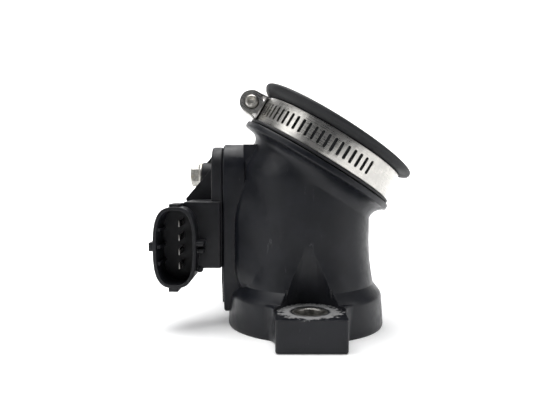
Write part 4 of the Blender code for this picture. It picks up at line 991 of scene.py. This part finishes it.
def make_finishes():
    moulded("black_plastic", (0.0045, 0.0051, 0.0075), (0.0082, 0.0090, 0.0125), 0.36, 7.0, 0.8,
            bolted=True)
    moulded("cover_plastic", (0.0048, 0.0052, 0.0068), (0.0090, 0.0095, 0.0120), 0.46, 5.0, 0.5)

    rubber = Finish("rubber")
    bloom = rubber.fit(rubber.noise(0.16, 5, 0.65), 0.4, 0.75)
    speck = rubber.fit(rubber.noise(2.6, 2), 0.62, 0.75, 0.0, 0.5)
    colour = rubber.mix(bloom, (0.009, 0.0095, 0.011), (0.018, 0.019, 0.021))
    colour = rubber.mix(speck, colour, (0.045, 0.046, 0.048))
    normal = rubber.bump(rubber.noise(5.0, 4), 0.03 * MM, 0.8, rubber.rounded_edges(0.3 * MM))
    rubber.set(Base_Color=colour, Roughness=rubber.fit(bloom, 0, 1, 0.55, 0.72), Normal=normal,
               Specular_IOR_Level=0.3)

    seal = Finish("seal_rubber")
    seal.set(Base_Color=seal.mix(seal.noise(0.8, 3), (0.03, 0.027, 0.024), (0.05, 0.046, 0.04)),
             Roughness=0.6, Normal=seal.bump(seal.noise(6.0), 0.02 * MM))

    strip = Finish("stainless", turn=(0, -TILT, 0))
    lines = strip.noise(1.0, 5, 0.7, (0.05, 0.05, 9.0))
    smear = strip.fit(strip.noise(0.22, 4, 0.6), 0.35, 0.7)
    colour = strip.mix(smear, (0.53, 0.515, 0.485), (0.46, 0.45, 0.43))
    colour = strip.mix(strip.fit(strip.noise(1.7, 2, shift=(2, 5, 3)), 0.66, 0.74, 0.0, 0.5), colour,
                       (0.36, 0.33, 0.30))
    rough = strip.sum("ADD", strip.fit(lines, 0.3, 0.7, 0.20, 0.34), strip.fit(smear, 0, 1, 0.0, 0.08))
    normal = strip.bump(lines, 0.004 * MM, 0.7, strip.rounded_edges(0.12 * MM))
    strip.set(Base_Color=colour, Metallic=1.0, Roughness=rough, Normal=normal, Anisotropic=0.35)

    zinc = Finish("zinc")
    crystal = zinc.fit(zinc.cells(1.1), 0.1, 0.8)
    colour = zinc.mix(crystal, (0.47, 0.46, 0.43), (0.34, 0.33, 0.305))
    tint = zinc.fit(zinc.noise(0.4, 3), 0.5, 0.7, 0.0, 0.45)
    colour = zinc.mix(tint, colour, (0.47, 0.42, 0.31))
    normal = zinc.bump(zinc.noise(3.0, 4), 0.012 * MM, 0.7, zinc.rounded_edges(0.2 * MM))
    zinc.set(Base_Color=colour, Metallic=1.0, Roughness=zinc.fit(crystal, 0, 1, 0.30, 0.46),
             Normal=normal)

    plain_metal("steel", (0.34, 0.33, 0.31), (0.22, 0.215, 0.20), 0.40, (6.0, 0.3, 0.3))
    plain_metal("aluminium", (0.78, 0.79, 0.80), (0.66, 0.67, 0.68), 0.30, (0.4, 3.0, 3.0))
    plain_metal("bronze", (0.60, 0.42, 0.21), (0.44, 0.29, 0.13), 0.38, (1, 1, 1))
    plain_metal("tin", (0.26, 0.255, 0.24), (0.18, 0.175, 0.165), 0.38, (1, 4, 1))
    plain_metal("copper", (0.76, 0.41, 0.25), (0.56, 0.27, 0.14), 0.36, (9, 1, 1))

    soft_solid("magnet", (0.09, 0.09, 0.10), (0.14, 0.14, 0.15), 0.5, 2.5)
    soft_solid("gear_plastic", (0.74, 0.70, 0.60), (0.82, 0.79, 0.70), 0.45, 4.0)
    soft_solid("board", (0.02, 0.15, 0.06), (0.04, 0.22, 0.10), 0.35, 1.2)
    soft_solid("chip", (0.012, 0.012, 0.013), (0.024, 0.024, 0.025), 0.5, 6.0)


def plain_metal(name, bright, dull, rough, stretch):
    look = Finish(name)
    lines = look.noise(1.0, 5, 0.65, stretch)
    patch = look.fit(look.noise(0.5, 4), 0.35, 0.7)
    normal = look.bump(lines, 0.008 * MM, 0.7, look.rounded_edges(0.15 * MM))
    look.set(Base_Color=look.mix(patch, bright, dull), Metallic=1.0,
             Roughness=look.fit(lines, 0.3, 0.7, rough - 0.06, rough + 0.1), Normal=normal)


def soft_solid(name, dark, pale, rough, grain):
    look = Finish(name)
    patch = look.fit(look.noise(0.3, 4), 0.3, 0.7)
    normal = look.bump(look.noise(grain, 3), 0.01 * MM, 0.6, look.rounded_edges(0.15 * MM))
    look.set(Base_Color=look.mix(patch, dark, pale),
             Roughness=look.fit(patch, 0, 1, rough - 0.05, rough + 0.08), Normal=normal)


# --- build -----------------------------------------------------------------------------------

make_finishes()
slots = {part["node"]: part["material_slot"] for part in frame["record"]["subparts"]}
for node, obj in frame["nodes"].items():
    obj.data.materials.clear()
    obj.data.materials.append(finishes[slots[node]])

make_housing()
make_sleeves()
make_hose_end()
make_band()
make_worm_housing()
make_worm()
make_cover()
make_terminals()
make_cover_screws()
make_throttle()

for leftover in list(workshop.objects):
    bpy.data.objects.remove(leftover, do_unlink=True)
bpy.data.collections.remove(workshop)


# --- floor, light and camera -----------------------------------------------------------------

def area_light(name, place, target, size, power):
    light = bpy.data.lights.new(name, "AREA")
    light.shape = "RECTANGLE"
    light.size, light.size_y = size
    light.energy = power
    obj = bpy.data.objects.new(name, light)
    obj.location = place
    obj.rotation_euler = (Vector(target) - Vector(place)).to_track_quat("-Z", "Y").to_euler()
    bpy.context.scene.collection.objects.link(obj)


def make_stage():
    """White sweep: a floor that curves up into a wall behind the object."""
    depth, curve_radius, half_width, height = 0.9, 0.5, 3.0, 2.5
    steps = 16
    profile = [(-2.0, 0.0), (depth, 0.0)]
    for step in range(1, steps + 1):
        angle = math.pi / 2 * step / steps
        profile.append((depth + curve_radius * math.sin(angle), curve_radius * (1 - math.cos(angle))))
    profile.append((depth + curve_radius, height))
    rows = [[(x, y, z) for y, z in profile] for x in (-half_width, half_width)]
    count = len(profile)
    faces = [(i, i + 1, count + i + 1, count + i) for i in range(count - 1)]
    mesh = bpy.data.meshes.new("sweep")
    mesh.from_pydata(rows[0] + rows[1], [], faces)
    mesh.shade_smooth()
    sweep = bpy.data.objects.new("sweep", mesh)
    bpy.context.scene.collection.objects.link(sweep)
    paper = Finish("paper")
    tone = paper.mix(paper.noise(0.02, 3), (0.93, 0.93, 0.93), (0.95, 0.95, 0.95))
    paper.set(Base_Color=tone, Roughness=0.9, Emission_Color=(1, 1, 1), Emission_Strength=0.12)
    mesh.materials.append(paper.material)


def make_camera():
    """Fitted view: nearly level, a little above the middle of the object and close to it."""
    camera = bpy.data.cameras.new("camera")
    camera.sensor_width = SENSOR_WIDTH
    camera.lens = FOCAL_LENGTH
    obj = bpy.data.objects.new("camera", camera)
    obj.location = CAMERA_PLACE
    obj.rotation_euler = (math.radians(90 - CAMERA_DIP), 0, 0)
    camera.clip_start = 0.01
    camera.clip_end = 10
    bpy.context.scene.collection.objects.link(obj)
    bpy.context.scene.camera = obj


make_stage()
make_camera()
area_light("overhead", (-0.05, 0.05, 0.9), (0, 0, 0), (0.9, 0.9), 14)
area_light("left_window", (-0.75, -0.35, 0.45), (0, 0, 0.04), (0.5, 0.6), 2.1)
area_light("right_window", (0.7, -0.25, 0.35), (0, 0, 0.05), (0.35, 0.6), 1.4)
area_light("backdrop_wash", (0, 0.5, 0.9), (0, 1.4, 0.4), (1.6, 0.5), 20)

world = bpy.data.worlds.new("studio")
bpy.context.scene.world = world
world.use_nodes = True
world.node_tree.nodes["Background"].inputs["Color"].default_value = (0.9, 0.93, 1.0, 1)
world.node_tree.nodes["Background"].inputs["Strength"].default_value = 0.10
bpy.context.scene.view_settings.view_transform = "Standard"
